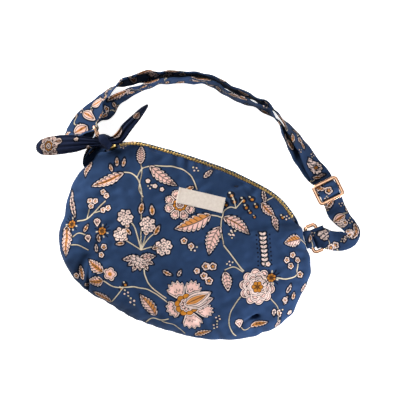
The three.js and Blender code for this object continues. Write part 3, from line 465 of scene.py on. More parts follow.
def make_mesh(name, points, faces, material, smooth_faces=True):
    mesh = bpy.data.meshes.new(name)
    mesh.from_pydata((np.asarray(points) * MM).tolist(), [], [list(map(int, f)) for f in faces])
    mesh.validate()
    mesh.update()
    mesh.materials.append(material)
    if smooth_faces:
        mesh.polygons.foreach_set("use_smooth", [True] * len(mesh.polygons))
    piece = bpy.data.objects.new(name, mesh)
    bpy.context.scene.collection.objects.link(piece)
    return piece


def face_outward(piece):
    """Turn all the faces of a closed mesh to point out."""
    mesh = piece.data
    points = np.empty(len(mesh.vertices) * 3)
    mesh.vertices.foreach_get("co", points)
    mesh.calc_loop_triangles()
    triangles = np.empty(len(mesh.loop_triangles) * 3, dtype=np.int64)
    mesh.loop_triangles.foreach_get("vertices", triangles)
    a, b, c = points.reshape(-1, 3)[triangles.reshape(-1, 3)].transpose(1, 0, 2)
    if np.sum(a * np.cross(b, c)) < 0:
        mesh.flip_normals()
    return piece


def set_cloth(piece, across, along):
    """Cloth coordinates in metres, for the weave."""
    layer = piece.data.attributes.new("cloth", "FLOAT_VECTOR", "POINT")
    values = np.stack([across, along, np.zeros_like(across)], axis=-1) * MM
    layer.data.foreach_set("vector", values.astype(np.float32).ravel())


def skin_faces(rings, count, joined=False, first=0):
    """Quads between rings of count points each, numbered ring by ring."""
    faces = []
    for i in range(rings if joined else rings - 1):
        a, b = first + i * count, first + (i + 1) % rings * count
        for k in range(count):
            n = (k + 1) % count
            faces.append((a + k, a + n, b + n, b + k))
    return faces


def fan_caps(rings, count, first=0):
    """Fans that close both ends of a skin. Their middles are the two points after it."""
    last, middle = first + (rings - 1) * count, first + rings * count
    faces = []
    for k in range(count):
        n = (k + 1) % count
        faces.append((middle, first + n, first + k))
        faces.append((middle + 1, last + k, last + n))
    return faces


def flat_caps(rings, count, first=0):
    """One face at each end of a skin."""
    last = first + (rings - 1) * count
    return [list(range(first, first + count)), list(range(last, last + count))[::-1]]


def with_ends(sections):
    """Points of sections in order, and then the middles of the first and the last."""
    return np.concatenate([sections.reshape(-1, 3), [sections[0].mean(axis=0), sections[-1].mean(axis=0)]])


def sweep(name, sections, material):
    """A closed solid through sections of equal counts."""
    size = sections.shape[:2]
    return face_outward(make_mesh(name, with_ends(sections), skin_faces(*size) + fan_caps(*size), material))


def rounded_rectangle(length, width, corner, arc_steps=8):
    points = []
    for side_x, side_y, start in [(1, 1, 0), (-1, 1, 90), (-1, -1, 180), (1, -1, 270)]:
        for i in range(arc_steps + 1):
            a = math.radians(start + 90 * i / arc_steps)
            points.append(beside(side_x * (length / 2 - corner), side_y * (width / 2 - corner), a, corner))
    return np.array(points)


def catmull(points, count):
    """Centripetal spline through points, sampled evenly by point number."""
    points = np.asarray(points, dtype=float)
    padded = np.concatenate([[2 * points[0] - points[1]], points, [2 * points[-1] - points[-2]]])
    reach = np.linspace(0, len(points) - 1, count)
    index = np.minimum(reach.astype(int), len(points) - 2)
    t = (reach - index)[:, None]
    p0, p1, p2, p3 = (padded[index + k] for k in range(4))
    d0, d1, d2 = (
        np.maximum(np.linalg.norm(b - a, axis=1, keepdims=True), 1e-4) ** 0.5
        for a, b in ((p0, p1), (p1, p2), (p2, p3))
    )
    m1 = ((p1 - p0) / d0 - (p2 - p0) / (d0 + d1) + (p2 - p1) / d1) * d1
    m2 = ((p2 - p1) / d1 - (p3 - p1) / (d1 + d2) + (p3 - p2) / d2) * d1
    a = 2 * (p1 - p2) + m1 + m2
    b = -3 * (p1 - p2) - 2 * m1 - m2
    return ((a * t + b) * t + m1) * t + p1


# The print: five layers of signed distances in millimetres on the flat cloth, under 0 inside

LAYERS = ("halo", "pale", "gold", "vein", "cream")
FAR = 6.0
PLAIN = 999.0  # spacing of the lobes of a petal without any
CLEAR = 0.9  # how far round a motif earlier lines are taken off
LEAF_OUTLINE, PETAL_OUTLINE = 1.9, 1.6
LINE_MARGIN = 3
LINE_STEPS = 10
# half width of the dark lines in leaves, toothed petals and round petals
VEIN = dict(side=0.62, rib=0.55, fan=0.85, petal=0.6)


class Print:
    """Motifs drawn on points of flat cloth."""

    def __init__(self, x, y):
        self.x, self.y = np.asarray(x, dtype=float), np.asarray(y, dtype=float)
        self.layers = {name: np.full(len(self.x), FAR) for name in LAYERS}

    def near(self, x, y, reach):
        return np.nonzero((np.abs(self.x - x) < reach) & (np.abs(self.y - y) < reach))[0]

    def put(self, layer, where, distance):
        values = self.layers[layer]
        values[where] = np.minimum(values[where], distance)

    def cover(self, where, distance):
        """Take earlier lines off the area of a new motif."""
        for layer in LAYERS[1:]:
            values = self.layers[layer]
            values[where] = np.maximum(values[where], -distance)

    def shape(self, layer, where, distance, outline):
        """A filled shape with a dark outline, on cloth that is cleared for it."""
        self.cover(where, distance - CLEAR)
        self.put("halo", where, distance - outline)
        self.put(layer, where, distance)

    def line(self, points, half=0.5, layer="cream", halo=0.6):
        path = np.asarray(points, float)
        if len(points) > 2:
            path = catmull(points, LINE_STEPS * (len(points) - 1) + 1)
        low, high = path.min(axis=0) - LINE_MARGIN, path.max(axis=0) + LINE_MARGIN
        inside = (self.x > low[0]) & (self.x < high[0]) & (self.y > low[1]) & (self.y < high[1])
        where = np.nonzero(inside)[0]
        x, y = self.x[where], self.y[where]
        best = np.full(len(where), 1e6)
        for (ax, ay), (bx, by) in zip(path[:-1], path[1:]):
            run_x, run_y = bx - ax, by - ay
            t = np.clip(((x - ax) * run_x + (y - ay) * run_y) / (run_x ** 2 + run_y ** 2 + 1e-9), 0, 1)
            best = np.minimum(best, np.hypot(x - ax - t * run_x, y - ay - t * run_y))
        self.put(layer, where, best - half)
        if halo:
            self.put("halo", where, best - half - halo)

    def dot(self, x, y, radius, layer, halo=0.0):
        where = self.near(x, y, radius + 3)
        distance = np.hypot(self.x[where] - x, self.y[where] - y) - radius
        self.put(layer, where, distance)
        if halo:
            self.put("halo", where, distance - halo)

    def leaf(self, base, tip, width, bend=0.0, gold=0.0, veins=0.0, notch=0.3, rib=True):
        """A lobed leaf. gold is the share of its width that is ochre, and bend curves its rib.

        A large share of ochre fills one side of the rib only.
        """
        base, tip = np.asarray(base, float), np.asarray(tip, float)
        length = np.hypot(*(tip - base))
        veins = veins or max(3.8, length / 7)
        ahead = (tip - base) / length
        middle = (base + tip) / 2
        where = self.near(middle[0], middle[1], length / 2 + abs(bend) + width + 3)
        px, py = self.x[where] - base[0], self.y[where] - base[1]
        t = (px * ahead[0] + py * ahead[1]) / length
        inside = np.clip(t, 0, 1)
        off = -px * ahead[1] + py * ahead[0] - bend * 4 * inside * (1 - inside)
        aside = np.abs(off)
        lobe = ((inside * length - aside * 0.8) / veins) % 1
        gap = np.abs(lobe - 0.5) * veins
        half = width * np.sin(math.pi * inside ** 0.8) ** 0.8 * (1 - notch * bell(gap / 1.1))
        beyond = np.maximum(np.maximum(-t, t - 1), 0) * length
        distance = np.hypot(np.maximum(aside - half, 0), beyond) + np.minimum(aside - half, 0)
        self.shape("pale", where, distance, LEAF_OUTLINE)
        if gold > 0.45 and width > 5:
            self.put("gold", where, np.maximum(0.3 + off, distance + 1.5))
        elif gold:
            self.put("gold", where, np.maximum(aside - half * gold, distance + 0.6))
        side_veins = np.maximum(gap - VEIN["side"], distance - 0.3)
        self.put("vein", where, np.maximum(side_veins, 0.2 * half - aside))
        if rib:
            self.put("vein", where, np.maximum(np.hypot(aside, beyond) - VEIN["rib"], distance + 0.2))

    def fan(self, base, tip, half, teeth=5):
        """A broad petal with a toothed end, a line inside its edge, and ochre near its base."""
        reach = math.hypot(tip[0] - base[0], tip[1] - base[1])
        where = self.near(*base, reach + 4)
        dx, dy = self.x[where] - base[0], self.y[where] - base[1]
        radius = np.hypot(dx, dy)
        heading = math.atan2(tip[1] - base[1], tip[0] - base[0])
        spread = 1.25 * half / reach
        u = ((np.arctan2(dy, dx) - heading + math.pi) % CIRCLE - math.pi) / spread
        saw = np.abs((u * teeth / 2) % 1 * 2 - 1)
        edge = reach * (1 - 0.13 * (1 - saw) - 0.2 * u * u)
        side = (np.abs(u) - 1) * spread * radius
        distance = np.maximum(radius - edge, side)
        self.shape("pale", where, distance, LEAF_OUTLINE)
        self.put("gold", where, np.maximum(radius - reach * 0.3, distance + 1.0))
        inner = np.abs(radius - edge + 0.36 * reach) - VEIN["fan"]
        self.put("vein", where, np.maximum(inner, side + 0.25 * spread * radius))

    def petals(self, x, y, size, count, scallop, turn=0.0, layer="pale", veins=True):
        """A ring of round petals."""
        where = self.near(x, y, size + 4)
        dx, dy = self.x[where] - x, self.y[where] - y
        radius = np.hypot(dx, dy)
        phase = (np.arctan2(dy, dx) - turn) * count / 2
        edge = size * (1 - scallop + scallop * np.abs(np.cos(phase)) ** 0.6 * 1.2)
        distance = np.maximum(radius - edge, -radius)
        self.shape(layer, where, distance, PETAL_OUTLINE)
        if veins:
            gap = np.abs(np.sin(phase - QUARTER)) * radius * 2 / count
            self.put("vein", where, np.maximum(gap - VEIN["petal"], distance + 0.2))

    def great_flower(self, x, y, size, turn):
        """A large open blossom: toothed petals round an ochre middle."""
        for a in angles(8, turn):
            self.fan(beside(x, y, a, size * 0.15), beside(x, y, a, size), size * 0.3)
        self.flower_middle(x, y, size * 0.4, turn)

    def flower_middle(self, x, y, size, turn):
        """An ochre ring with a pale core and a circle of seeds."""
        self.petals(x, y, size, 9, 0.16, turn + 0.2, "gold")
        self.petals(x, y, size * 0.6, 8, 0.2, turn, veins=False)
        for a in angles(7, turn):
            self.dot(*beside(x, y, a, size * 0.36), size * 0.09, "vein")

    def peony(self, x, y, size, turn):
        """A round blossom of scalloped rings with an ochre middle."""
        for share, count in ((1.0, 10), (0.72, 8), (0.46, 7)):
            self.petals(x, y, size * share, count, 0.2, turn + share * 3, veins=False)
        self.petals(x, y, size * 0.3, 6, 0.3, turn, "gold")

    def carnation(self, x, y, size, turn):
        """A round head of small florets on an ochre cup."""
        self.leaf(beside(x, y, turn, -size * 1.35), (x, y), size * 0.45, gold=0.4, veins=3.0, rib=False)
        for count, reach in ((8, 0.78), (4, 0.34)):
            for k in range(count):
                a = turn + CIRCLE * (k + 0.3 * math.sin(5 * k)) / count
                spot = size * reach * (1 + 0.12 * math.sin(7 * k + x))
                self.blossom(*beside(x, y, a, spot), size * 0.31, a, "vein")

    def bud(self, x, y, size, turn):
        """An ochre bud with a pale rim and dark lines along it."""
        ends = beside(x, y, turn, -size), beside(x, y, turn, size)
        self.leaf(*ends, size * 0.42, gold=0.9, veins=4.4, notch=0.12)

    def thistle(self, x, y, size):
        """An ochre head with dark and pale bristles round it."""
        where = self.near(x, y, size * 2.4 + 3)
        self.cover(where, np.hypot(self.x[where] - x, self.y[where] - y) - size - 1)
        for k, a in enumerate(angles(14)):
            layer, reach = ("vein", 2.2) if k % 4 else ("cream", 1.7)
            self.line([beside(x, y, a, size), beside(x, y, a, size * reach)], 0.7, layer, 0)
        self.petals(x, y, size, 7, 0.25, layer="gold")

    def seed(self, x, y, size):
        """A round dark berry with an ochre heart and a pale spot."""
        self.dot(x, y, size, "halo")
        self.dot(x + size * 0.2, y - size * 0.2, size * 0.36, "gold")
        self.dot(x - size * 0.45, y + size * 0.45, size * 0.26, "cream")

    def blossom(self, x, y, size, turn, heart="gold"):
        self.petals(x, y, size, 5, 0.3, turn, veins=False)
        self.dot(x, y, size * 0.34, heart)

    def berries(self, x, y, size, turn):
        for k, (along, aside) in enumerate([(0, 0), (1.5, 0.7), (2.9, -0.2), (1.3, -1.1)]):
            spot = beside(*beside(x, y, turn, size * along), turn + QUARTER, size * aside)
            self.dot(*spot, size * 0.42, "pale" if k % 2 else "cream", 0.6)

    def spike(self, start, end, size):
        """A stem closely set with pairs of slanting leaflets, and seeds down both sides."""
        start, end = np.asarray(start, float), np.asarray(end, float)
        length = np.hypot(*(end - start))
        ahead = (end - start) / length
        aside = np.array([-ahead[1], ahead[0]])
        steps = max(2, int(length / (size * 1.15)))
        for k in range(steps + 1):
            at = start + (end - start) * k / steps
            for hand in (-1, 1):
                tip = at - ahead * size * 0.8 + aside * hand * size * 1.05
                self.leaf(at, tip, size * 0.36, veins=9, notch=0, rib=False)
                self.dot(*(at + aside * hand * size * 2.1), 0.8, "vein", 0.3)

    def apply(self, piece):
        for name in LAYERS:
            layer = piece.data.attributes.new(name, "FLOAT", "POINT")
            layer.data.foreach_set("value", np.clip(self.layers[name], -FAR, FAR).astype(np.float32))


# Materials

class Paint:
    """A material, and short ways to make the nodes that colour it."""

    def __init__(self, name, settings):
        self.material = bpy.data.materials.new(name)
        self.material.use_nodes = True
        self.nodes, self.links = self.material.node_tree.nodes, self.material.node_tree.links
        self.shader = self.nodes["Principled BSDF"]
        self.fill(self.shader, settings)

    def fill(self, node, values):
        """Set a node's inputs to numbers, colours or the outputs of other nodes."""
        for key, value in values.items():
            if isinstance(value, bpy.types.NodeSocket):
                self.links.new(value, node.inputs[key])
            else:
                node.inputs[key].default_value = value

    def node(self, kind, inputs, output=0, **settings):
        node = self.nodes.new("ShaderNode" + kind)
        for key, value in settings.items():
            setattr(node, key, value)
        self.fill(node, inputs)
        return node.outputs[output]

    def attribute(self, name, output="Fac"):
        return self.node("Attribute", {}, output, attribute_name=name)

    def mix(self, factor, first, second):
        return self.node("Mix", dict(Factor=factor, A=first, B=second), "Result", data_type="RGBA")

    def ramp(self, value, low, high, to_low=0.0, to_high=1.0):
        reach = {"Value": value, "From Min": low, "From Max": high, "To Min": to_low, "To Max": to_high}
        return self.node("MapRange", reach, "Result")

    def noise(self, scale, detail, vector):
        return self.node("TexNoise", dict(Scale=scale, Detail=detail, Vector=vector), "Fac")

    def joined(self, operation, first, second):
        return self.node("Math", {0: first, 1: second}, operation=operation)

    def bump(self, height, strength, distance):
        normal = self.node("Bump", dict(Strength=strength, Distance=distance, Height=height), "Normal")
        self.fill(self.shader, dict(Normal=normal))

    def weave(self, cloth, threads_per_metre, strength):
        """Crossing threads as a bump, from cloth coordinates in metres."""
        threads = dict(Scale=threads_per_metre * math.pi / 10, Distortion=1.2, Detail=1.0, Vector=cloth)
        waves = []
        for axis in "XY":
            waves.append(self.node("TexWave", threads, "Fac", wave_type="BANDS", bands_direction=axis))
        crossing = self.joined("MAXIMUM", *waves)
        self.bump(crossing, strength, WEAVE_DEPTH)
        return crossing


def printed_cotton(name, ground_colours, shade=1.0):
    """Cotton with its print, on a ground, its lighter patches and its weft. shade dims the inks as painted
    shade.
    """
    paint = Paint(name, {
        "Roughness": 0.86, "Sheen Weight": 0.03, "Sheen Roughness": 0.5, "Specular IOR Level": 0.06})
    cloth = paint.attribute("cloth", "Vector")
    threads = paint.weave(cloth, threads_per_metre=1400, strength=0.35)
    low, light, weft = (tint(c) for c in ground_colours)
    worn = paint.ramp(paint.noise(scale=55, detail=4, vector=cloth), 0.3, 0.75)
    colour = paint.mix(paint.ramp(threads, 0.2, 1.0, 0.0, 0.25), paint.mix(worn, low, light), weft)
    uneven = paint.ramp(paint.noise(scale=420, detail=3, vector=cloth), 0.25, 0.8, 0.8, 1.0)
    for layer, ink, most in INKS:
        depth = paint.attribute(layer)
        cover = paint.joined("MULTIPLY", paint.ramp(depth, SOFT_EDGE, -SOFT_EDGE, 0, most), uneven)
        tone = tint(ink, shade)
        if layer == LINED["layer"]:
            line_at = LINED["depth"]
            first = paint.ramp(depth, line_at + 0.25, line_at - 0.25)
            last = paint.ramp(depth, line_at - 0.55, line_at - 1.05)
            tone = paint.mix(first, tone, tint("navy", shade))
            tone = paint.mix(last, tone, tint(LINED["ink"], shade))
        colour = paint.mix(cover, colour, tone)
    paint.fill(paint.shader, {"Base Color": colour})
    return paint.material


def plain_cloth(name, colour, threads_per_metre):
    paint = Paint(name, {"Roughness": 0.88, "Sheen Weight": 0.1, "Specular IOR Level": 0.2})
    shade = tint(colour + "_shade")
    cloth = paint.attribute("cloth", "Vector")
    crossing = paint.weave(cloth, threads_per_metre, strength=0.5)
    spots = paint.noise(scale=300, detail=4, vector=cloth)
    # The darker _shade colour is the thread's own uneven tone in random spots, and painted shade in the gaps
    # between the threads.
    base = paint.mix(paint.ramp(spots, 0.3, 0.7), tint(colour), shade)
    base = paint.mix(paint.ramp(crossing, 0.1, 0.9, 0.25, 0.0), base, shade)
    paint.fill(paint.shader, {"Base Color": base})
    return paint.material


def metal(name, colour, rough_low, rough_high):
    paint = Paint(name, {"Roughness": rough_high, "Metallic": 1.0})
    place = paint.node("TexCoord", {}, "Object")
    wear = paint.noise(scale=350, detail=5, vector=place)
    paint.fill(paint.shader, {
        "Base Color": paint.mix(paint.ramp(wear, 0.45, 0.75), tint(colour), tint(colour + "_dark")),
        "Roughness": paint.ramp(wear, 0.3, 0.8, rough_low, rough_high),
    })
    paint.bump(paint.noise(scale=1500, detail=2, vector=place), strength=0.08, distance=0.0001)
    return paint.material


COTTON = printed_cotton("printed_cotton", ("ground", "ground_light", "weft"))
# Painted shade: the strap and the tabs are the bag's own cloth, drawn with a darker ground and inks dimmed to
# 0.8.
SHADED_BAND_COTTON = printed_cotton("printed_cotton_shaded_bands", ("shaded_band_ground", "shaded_band_patches", "shaded_band_weft"), shade=0.8)
# Painted shade: the tie is the bag's own cloth too, drawn with a much darker ground and inks dimmed to half.
SHADED_TIE_COTTON = printed_cotton("printed_cotton_shaded_tie", ("shaded_tie_ground", "shaded_tie_patches", "shaded_tie_weft"), shade=0.5)
TAPE_CLOTH = plain_cloth("zip_tape_cloth", "tape", threads_per_metre=1800)
LABEL_CLOTH = plain_cloth("label_cotton", "label", threads_per_metre=1600)
THREAD = plain_cloth("thread", "thread", threads_per_metre=6000)
LABEL_THREAD = plain_cloth("label_thread", "label_thread", threads_per_metre=6000)
BRASS = metal("zip_brass", "brass", rough_low=0.28, rough_high=0.45)
ROSE = metal("rose_gold", "rose", rough_low=0.14, rough_high=0.28)


# Flat cloth lengths of the panels, tabulated by angle so that any point of cloth can be placed

TABLE_TURNS = np.radians(np.arange(361))


def panel_tables(panel, last):
    """A panel, its stop at the edge, and tables of cloth length from its middle for every degree round it."""
    stops = np.linspace(0, last, 241)
    turns = np.repeat(TABLE_TURNS[:, None], len(stops), axis=1)
    points = panel(turns, np.repeat(stops[None, :], len(TABLE_TURNS), axis=0))
    lengths = np.array([run_lengths(row) for row in points])
    shares = np.linspace(0, 1, 257)
    even = np.array([np.interp(shares * row[-1], row, stops) for row in lengths])
    return dict(panel=panel, last=last, stops=stops, lengths=lengths, even=even, total=lengths[:, -1:])


FRONT = panel_tables(front_point, QUARTER)
BACK = panel_tables(whole_back, 1.0)


def by_angle(table_rows, turn):
    """Rows of a table for each angle, blended between whole degrees."""
    degrees = np.degrees(turn) % 360
    low = np.minimum(degrees.astype(int), 359)
    t = (degrees - low)[:, None]
    return table_rows[low] * (1 - t) + table_rows[low + 1] * t


def lookup(rows, share):
    """Values at a share from 0 to 1 along each of the rows."""
    reach = np.clip(share, 0, 1) * (rows.shape[1] - 1)
    low = np.minimum(reach.astype(int), rows.shape[1] - 2)
    t = reach - low
    picked = np.arange(len(rows))
    return rows[picked, low] * (1 - t) + rows[picked, low + 1] * t


def disk_grid(n):
    """A square grid bent to a disk: distance from the middle, 0 to 1, and angle, for each point."""
    a, b = np.meshgrid(np.linspace(-1, 1, n + 1), np.linspace(-1, 1, n + 1))
    a, b = a.ravel(), b.ravel()
    wide = np.abs(a) > np.abs(b)
    radius = np.where(wide, a, b)
    with np.errstate(divide="ignore", invalid="ignore"):
        angle = np.where(wide, math.pi / 4 * b / a, QUARTER - math.pi / 4 * a / b)
    angle = np.nan_to_num(angle)
    x, y = radius * np.cos(angle), radius * np.sin(angle)
    return np.clip(np.hypot(x, y), 0, 1), np.arctan2(y, x)


def grid_faces(n, first=0):
    i, j = np.meshgrid(np.arange(n), np.arange(n))
    a = first + j.ravel() * (n + 1) + i.ravel()
    return np.stack([a, a + 1, a + n + 2, a + n + 1], axis=1).tolist()


def grid_rim(n, first=0):
    """Point numbers round the edge of a grid, in order, from its first corner."""
    side, steps = n + 1, np.arange(n)
    rim = [steps, steps * side + n, n * side + n - steps, (n - steps) * side]
    return (first + np.concatenate(rim)).tolist()


def ripple(values, seed):
    """A smooth irregular wave between -1 and 1 of a repeating value, such as an angle."""
    draw = np.random.default_rng(seed)
    total = np.zeros_like(values)
    weight = 0.0
    for _ in range(7):
        rate, phase, size = draw.integers(18, 64), draw.uniform(0, 6.3), draw.uniform(0.4, 1)
        total += size * np.sin(rate * values + phase)
        weight += size
    return total / weight * 1.8


def swell(x, y, seed, longest, count=18):
    """A soft irregular relief between about -1 and 1 over the plan."""
    draw = np.random.default_rng(seed)
    total = np.zeros_like(x)
    for _ in range(count):
        heading = draw.uniform(0, CIRCLE)
        length = draw.uniform(0.35, 1.0) * longest
        phase = draw.uniform(0, CIRCLE)
        total += np.sin((x * math.cos(heading) + y * math.sin(heading)) * CIRCLE / length + phase)
    return total / math.sqrt(count)


def panel_piece(name, tables, grids, relief):
    """A panel with a printed outer face and a lining, closed at its edge, and its cloth coordinates.

    relief(points, turn, share) is how far the cloth stands out.
    """
    panel, last = tables["panel"], tables["last"]
    fine, coarse, outside = grids

    def face(n, depth):
        share, turn = disk_grid(n)
        stop = np.clip(lookup(by_angle(tables["even"], turn), share), 1e-3 * last, last)
        at, out = panel_frame(panel, turn, stop, outside)
        at[share < 1e-6] = panel(np.zeros(1), np.full(1, 1e-6))
        out[share < 1e-3] = [0, 0, outside]
        flat = by_angle(tables["total"], turn)[:, 0] * share
        cloth = np.stack([flat * np.cos(turn), flat * np.sin(turn)])
        return at + out * (relief(at, turn, share) - depth)[:, None], cloth

    outer, outer_cloth = face(fine, 0.0)
    inner, inner_cloth = face(coarse, CLOTH)
    faces = grid_faces(fine) + [f[::-1] for f in grid_faces(coarse, len(outer))]
    step = fine // coarse
    half = step // 2
    rim_out, rim_in = grid_rim(fine), grid_rim(coarse, len(outer))
    for k, a in enumerate(rim_in):
        b = rim_in[(k + 1) % len(rim_in)]
        f = [rim_out[(k * step + i) % len(rim_out)] for i in range(step + 1)]
        faces += [(a, f[i + 1], f[i]) for i in range(half)]
        faces.append((a, b, f[half]))
        faces += [(b, f[i + 1], f[i]) for i in range(half, step)]
    piece = face_outward(make_mesh(name, np.concatenate([outer, inner]), faces, COTTON))
    x, y = np.concatenate([outer_cloth, inner_cloth], axis=1)
    set_cloth(piece, x, y)
    return piece, Print(x, y)


# Where things show in the picture, on the cloth

def drop_at(x, y):
    """Angle and stop on the front panel of places on the plan."""
    turn = np.arctan2(y, x)
    return turn, np.arcsin(np.clip(np.hypot(x, y) / front_edge(turn), 0, 1))


def front_over(x, y):
    """Height of the front panel over places on the plan."""
    return front_point(*drop_at(x, y))[..., 2]


def cloth_from_picture(px, py):
    """Flat cloth place on the front panel of what shows at a pixel of the photograph."""
    right, down = ((p - PICTURE["side"] / 2) * PICTURE["floor_scale"] for p in (px, py))
    floor_x, floor_y = right * PICTURE_COS + down * PICTURE_SIN, right * PICTURE_SIN - down * PICTURE_COS
    height = 45.0  # a first guess
    for _ in range(4):
        shrink = 1 - height / PICTURE["height"]
        x = np.array([PICTURE["x"] + floor_x * shrink])
        y = np.array([PICTURE["y"] + floor_y * shrink])
        turn, drop = drop_at(x, y)
        height = float(front_over(x, y)[0])
    flat = np.interp(drop[0], FRONT["stops"], by_angle(FRONT["lengths"], turn)[0])
    flat += max(0.0, float((np.hypot(x, y) - front_edge(turn))[0]))
    return beside(0, 0, turn[0], float(flat))


def way_on_cloth(degrees):
    """Direction on the cloth of a heading in the picture."""
    return math.radians(degrees + PICTURE["turn"])


def print_front(sheet):
    at = cloth_from_picture
    for stem in STEMS:
        sheet.line([at(*p) for p in stem], STEM_HALF if len(stem) > 3 else TWIG_HALF)
    sheet.spike(at(*SPIKE["start"]), at(*SPIKE["end"]), SPIKE["size"])
    for draw, rows in ((sheet.carnation, CARNATIONS), (sheet.bud, BUDS)):
        for px, py, size, way in rows:
            draw(*at(px, py), size * PIXEL, way_on_cloth(way))
    for bx, by, tx, ty, width, bend, gold in LEAVES:
        sheet.leaf(at(bx, by), at(tx, ty), width * PIXEL, bend * PIXEL, gold)
    for px, py, size in SEEDS:
        sheet.seed(*at(px, py), size * PIXEL)
    for px, py, size in BLOSSOMS:
        sheet.blossom(*at(px, py), size * PIXEL, px * 0.7)
    for px, py, size, way in BERRIES:
        sheet.berries(*at(px, py), size * PIXEL, way_on_cloth(way))
    sheet.leaf(at(*CONE["base"]), at(*CONE["tip"]), CONE["half"] * PIXEL, veins=2.8, notch=0.4)
    calyx = at(*CALYX["place"])
    for way, long in CALYX_SPIKES:
        sheet.leaf(calyx, beside(*calyx, way_on_cloth(way), long), CALYX["half"], veins=CALYX["veins"])
    under = at(*UNDER_LABEL["place"])
    sheet.great_flower(*under, UNDER_LABEL["radius"], way_on_cloth(UNDER_LABEL["heading"]))
    for bx, by, tx, ty, half in GREAT_PETALS:
        sheet.fan(at(bx, by), at(tx, ty), half * PIXEL)
    sheet.flower_middle(*at(*GREAT["place"]), GREAT["middle"], way_on_cloth(GREAT["heading"]))
    for bx, by, tx, ty, half, gold in SMOOTH_PETALS:
        base, tip = at(bx, by), at(tx, ty)
        sheet.leaf(base, tip, half * PIXEL, veins=PLAIN)
        if gold:
            inner_tip = tuple(b + (t - b) * 0.86 for b, t in zip(base, tip))
            sheet.leaf(base, inner_tip, half * PIXEL * gold, gold=0.9, veins=PLAIN, notch=0)
    sheet.peony(*at(*PEONY["place"]), PEONY["radius"], PEONY["turn"])
    for px, py, size in THISTLES:
        sheet.thistle(*at(px, py), size * PIXEL)
    for bx, by, tx, ty, half in TOOTHED:
        sheet.fan(at(bx, by), at(tx, ty), half * PIXEL, teeth=4)


def shows_at(points, across, along, px, py):
    """Flat cloth place of what shows at a pixel of the photograph, on a piece with these points."""
    scale = PICTURE["height"] / (PICTURE["height"] - points[:, 2]) / PICTURE["floor_scale"]
    x, y = (points[:, 0] - PICTURE["x"]) * scale, (points[:, 1] - PICTURE["y"]) * scale
    off_x = x * PICTURE_COS + y * PICTURE_SIN + PICTURE["side"] / 2 - px
    off_y = x * PICTURE_SIN - y * PICTURE_COS + PICTURE["side"] / 2 - py
    away = np.hypot(off_x, off_y)
    near = np.nonzero(away < max(2.5, away.min() + 0.5))[0]
    top = near[np.argmax(points[near, 2])]
    return across[top], along[top]


def placed(sheet, points, across, along, motifs):
    """Motifs where the picture shows them. Each has a kind, a pixel, a size and a heading along the cloth."""
    whole = dict(peony=sheet.peony, flower=sheet.great_flower, blossom=sheet.blossom)
    for kind, px, py, size, way in motifs:
        x, y = shows_at(points, across, along, px, py)
        a = math.radians(way)
        ends = beside(x, y, a, -size), beside(x, y, a, size)
        if kind == "petal":
            sheet.leaf(*ends, size * 0.62, gold=0.26, veins=PLAIN, notch=0)
        elif kind == "leaf":
            sheet.leaf(*ends, size * 0.5, gold=0.35, veins=3.4)
        else:
            whole[kind](x, y, size, a)


def scatter(sheet, reach_x, reach_y, spacing, seed, big=True):
    """Fill a stretch of cloth with the same motifs, joined by curling stems."""
    draw = np.random.default_rng(seed)
    columns, rows = max(1, round(2 * reach_x / spacing)), max(1, round(2 * reach_y / spacing))
    size = 1.0 if big else 0.72
    for i in range(columns):
        for j in range(rows):
            x = -reach_x + (i + 0.5 + draw.uniform(-0.25, 0.25)) * 2 * reach_x / columns
            y = -reach_y + (j + 0.5 + draw.uniform(-0.25, 0.25)) * 2 * reach_y / rows
            turn = draw.uniform(0, CIRCLE)
            kind = draw.integers(0, 6)
            far = beside(x, y, turn, spacing * 0.8)
            sheet.line([(x, y), beside(x, y, turn + 0.6, spacing * 0.5), far])
            sheet.leaf(far, beside(*far, turn + 1.2, 9), 2.4 * size, gold=0.4)
            if kind == 0 and big:
                sheet.great_flower(x, y, spacing * 0.36, turn)
            elif kind == 1 and big:
                sheet.peony(x, y, spacing * 0.3, turn)
            elif kind == 2:
                sheet.carnation(x, y, 7 * size, turn)
            elif kind == 3:
                sheet.leaf((x, y), beside(x, y, turn, 20 * size), 5 * size, 2 * size, 0.4)
            elif kind == 4:
                sheet.blossom(x, y, 5.5 * size, turn)
            else:
                sheet.bud(x, y, 6.5 * size, turn)
            berry = turn + 2.4
            sheet.berries(*beside(x, y, berry, 11 * size), 2.0, berry)


# Front and back panels

def front_relief(at, turn, share):
    x, y = at[:, 0], at[:, 1]
    zip_at = zip_share(turn)
    tucked = smooth(FRONT_TUCK, 1.0, share)
    edge = smooth(0.8, FRONT_TUCK, share) * (1 - tucked)
    standing = RELIEF["edge"] + RELIEF["at_zip"] * zip_at
    puckers = edge * standing * (1 + ripple(turn, RIPPLE_SEEDS["front"]))
    hem = -RELIEF["hem"] * bell((share - 0.965) / 0.008) * zip_at
    tuck = -1.2 * tucked * (1 - zip_at)
    waves = sum(height * swell(x, y, seed, longest) for height, seed, longest in SWELLS)
    body = (1 - smooth(0.88, 1.0, share)) * waves
    return puckers + hem + tuck + body - (1 - smooth(0.97, 1.0, share)) * fold_depth(x, y, CREASES)


def back_relief(at, turn, share):
    tucked = smooth(BACK_TUCK, 1.0, share)
    edge = smooth(0.84, BACK_TUCK, share) * (1 - tucked)
    puckers = edge * 0.6 * ripple(turn, RIPPLE_SEEDS["back"])
    return puckers - tucked * (1 - zip_share(turn)) - 0.15 * smooth(0.75, 0.9, share)


front, front_print = panel_piece("front_panel", FRONT, FRONT_FACES, front_relief)
print_front(front_print)
front_print.apply(front)

back, back_print = panel_piece("back_panel", BACK, BACK_FACES, back_relief)
scatter(back_print, *BACK_PRINT)
back_print.apply(back)


# Zip

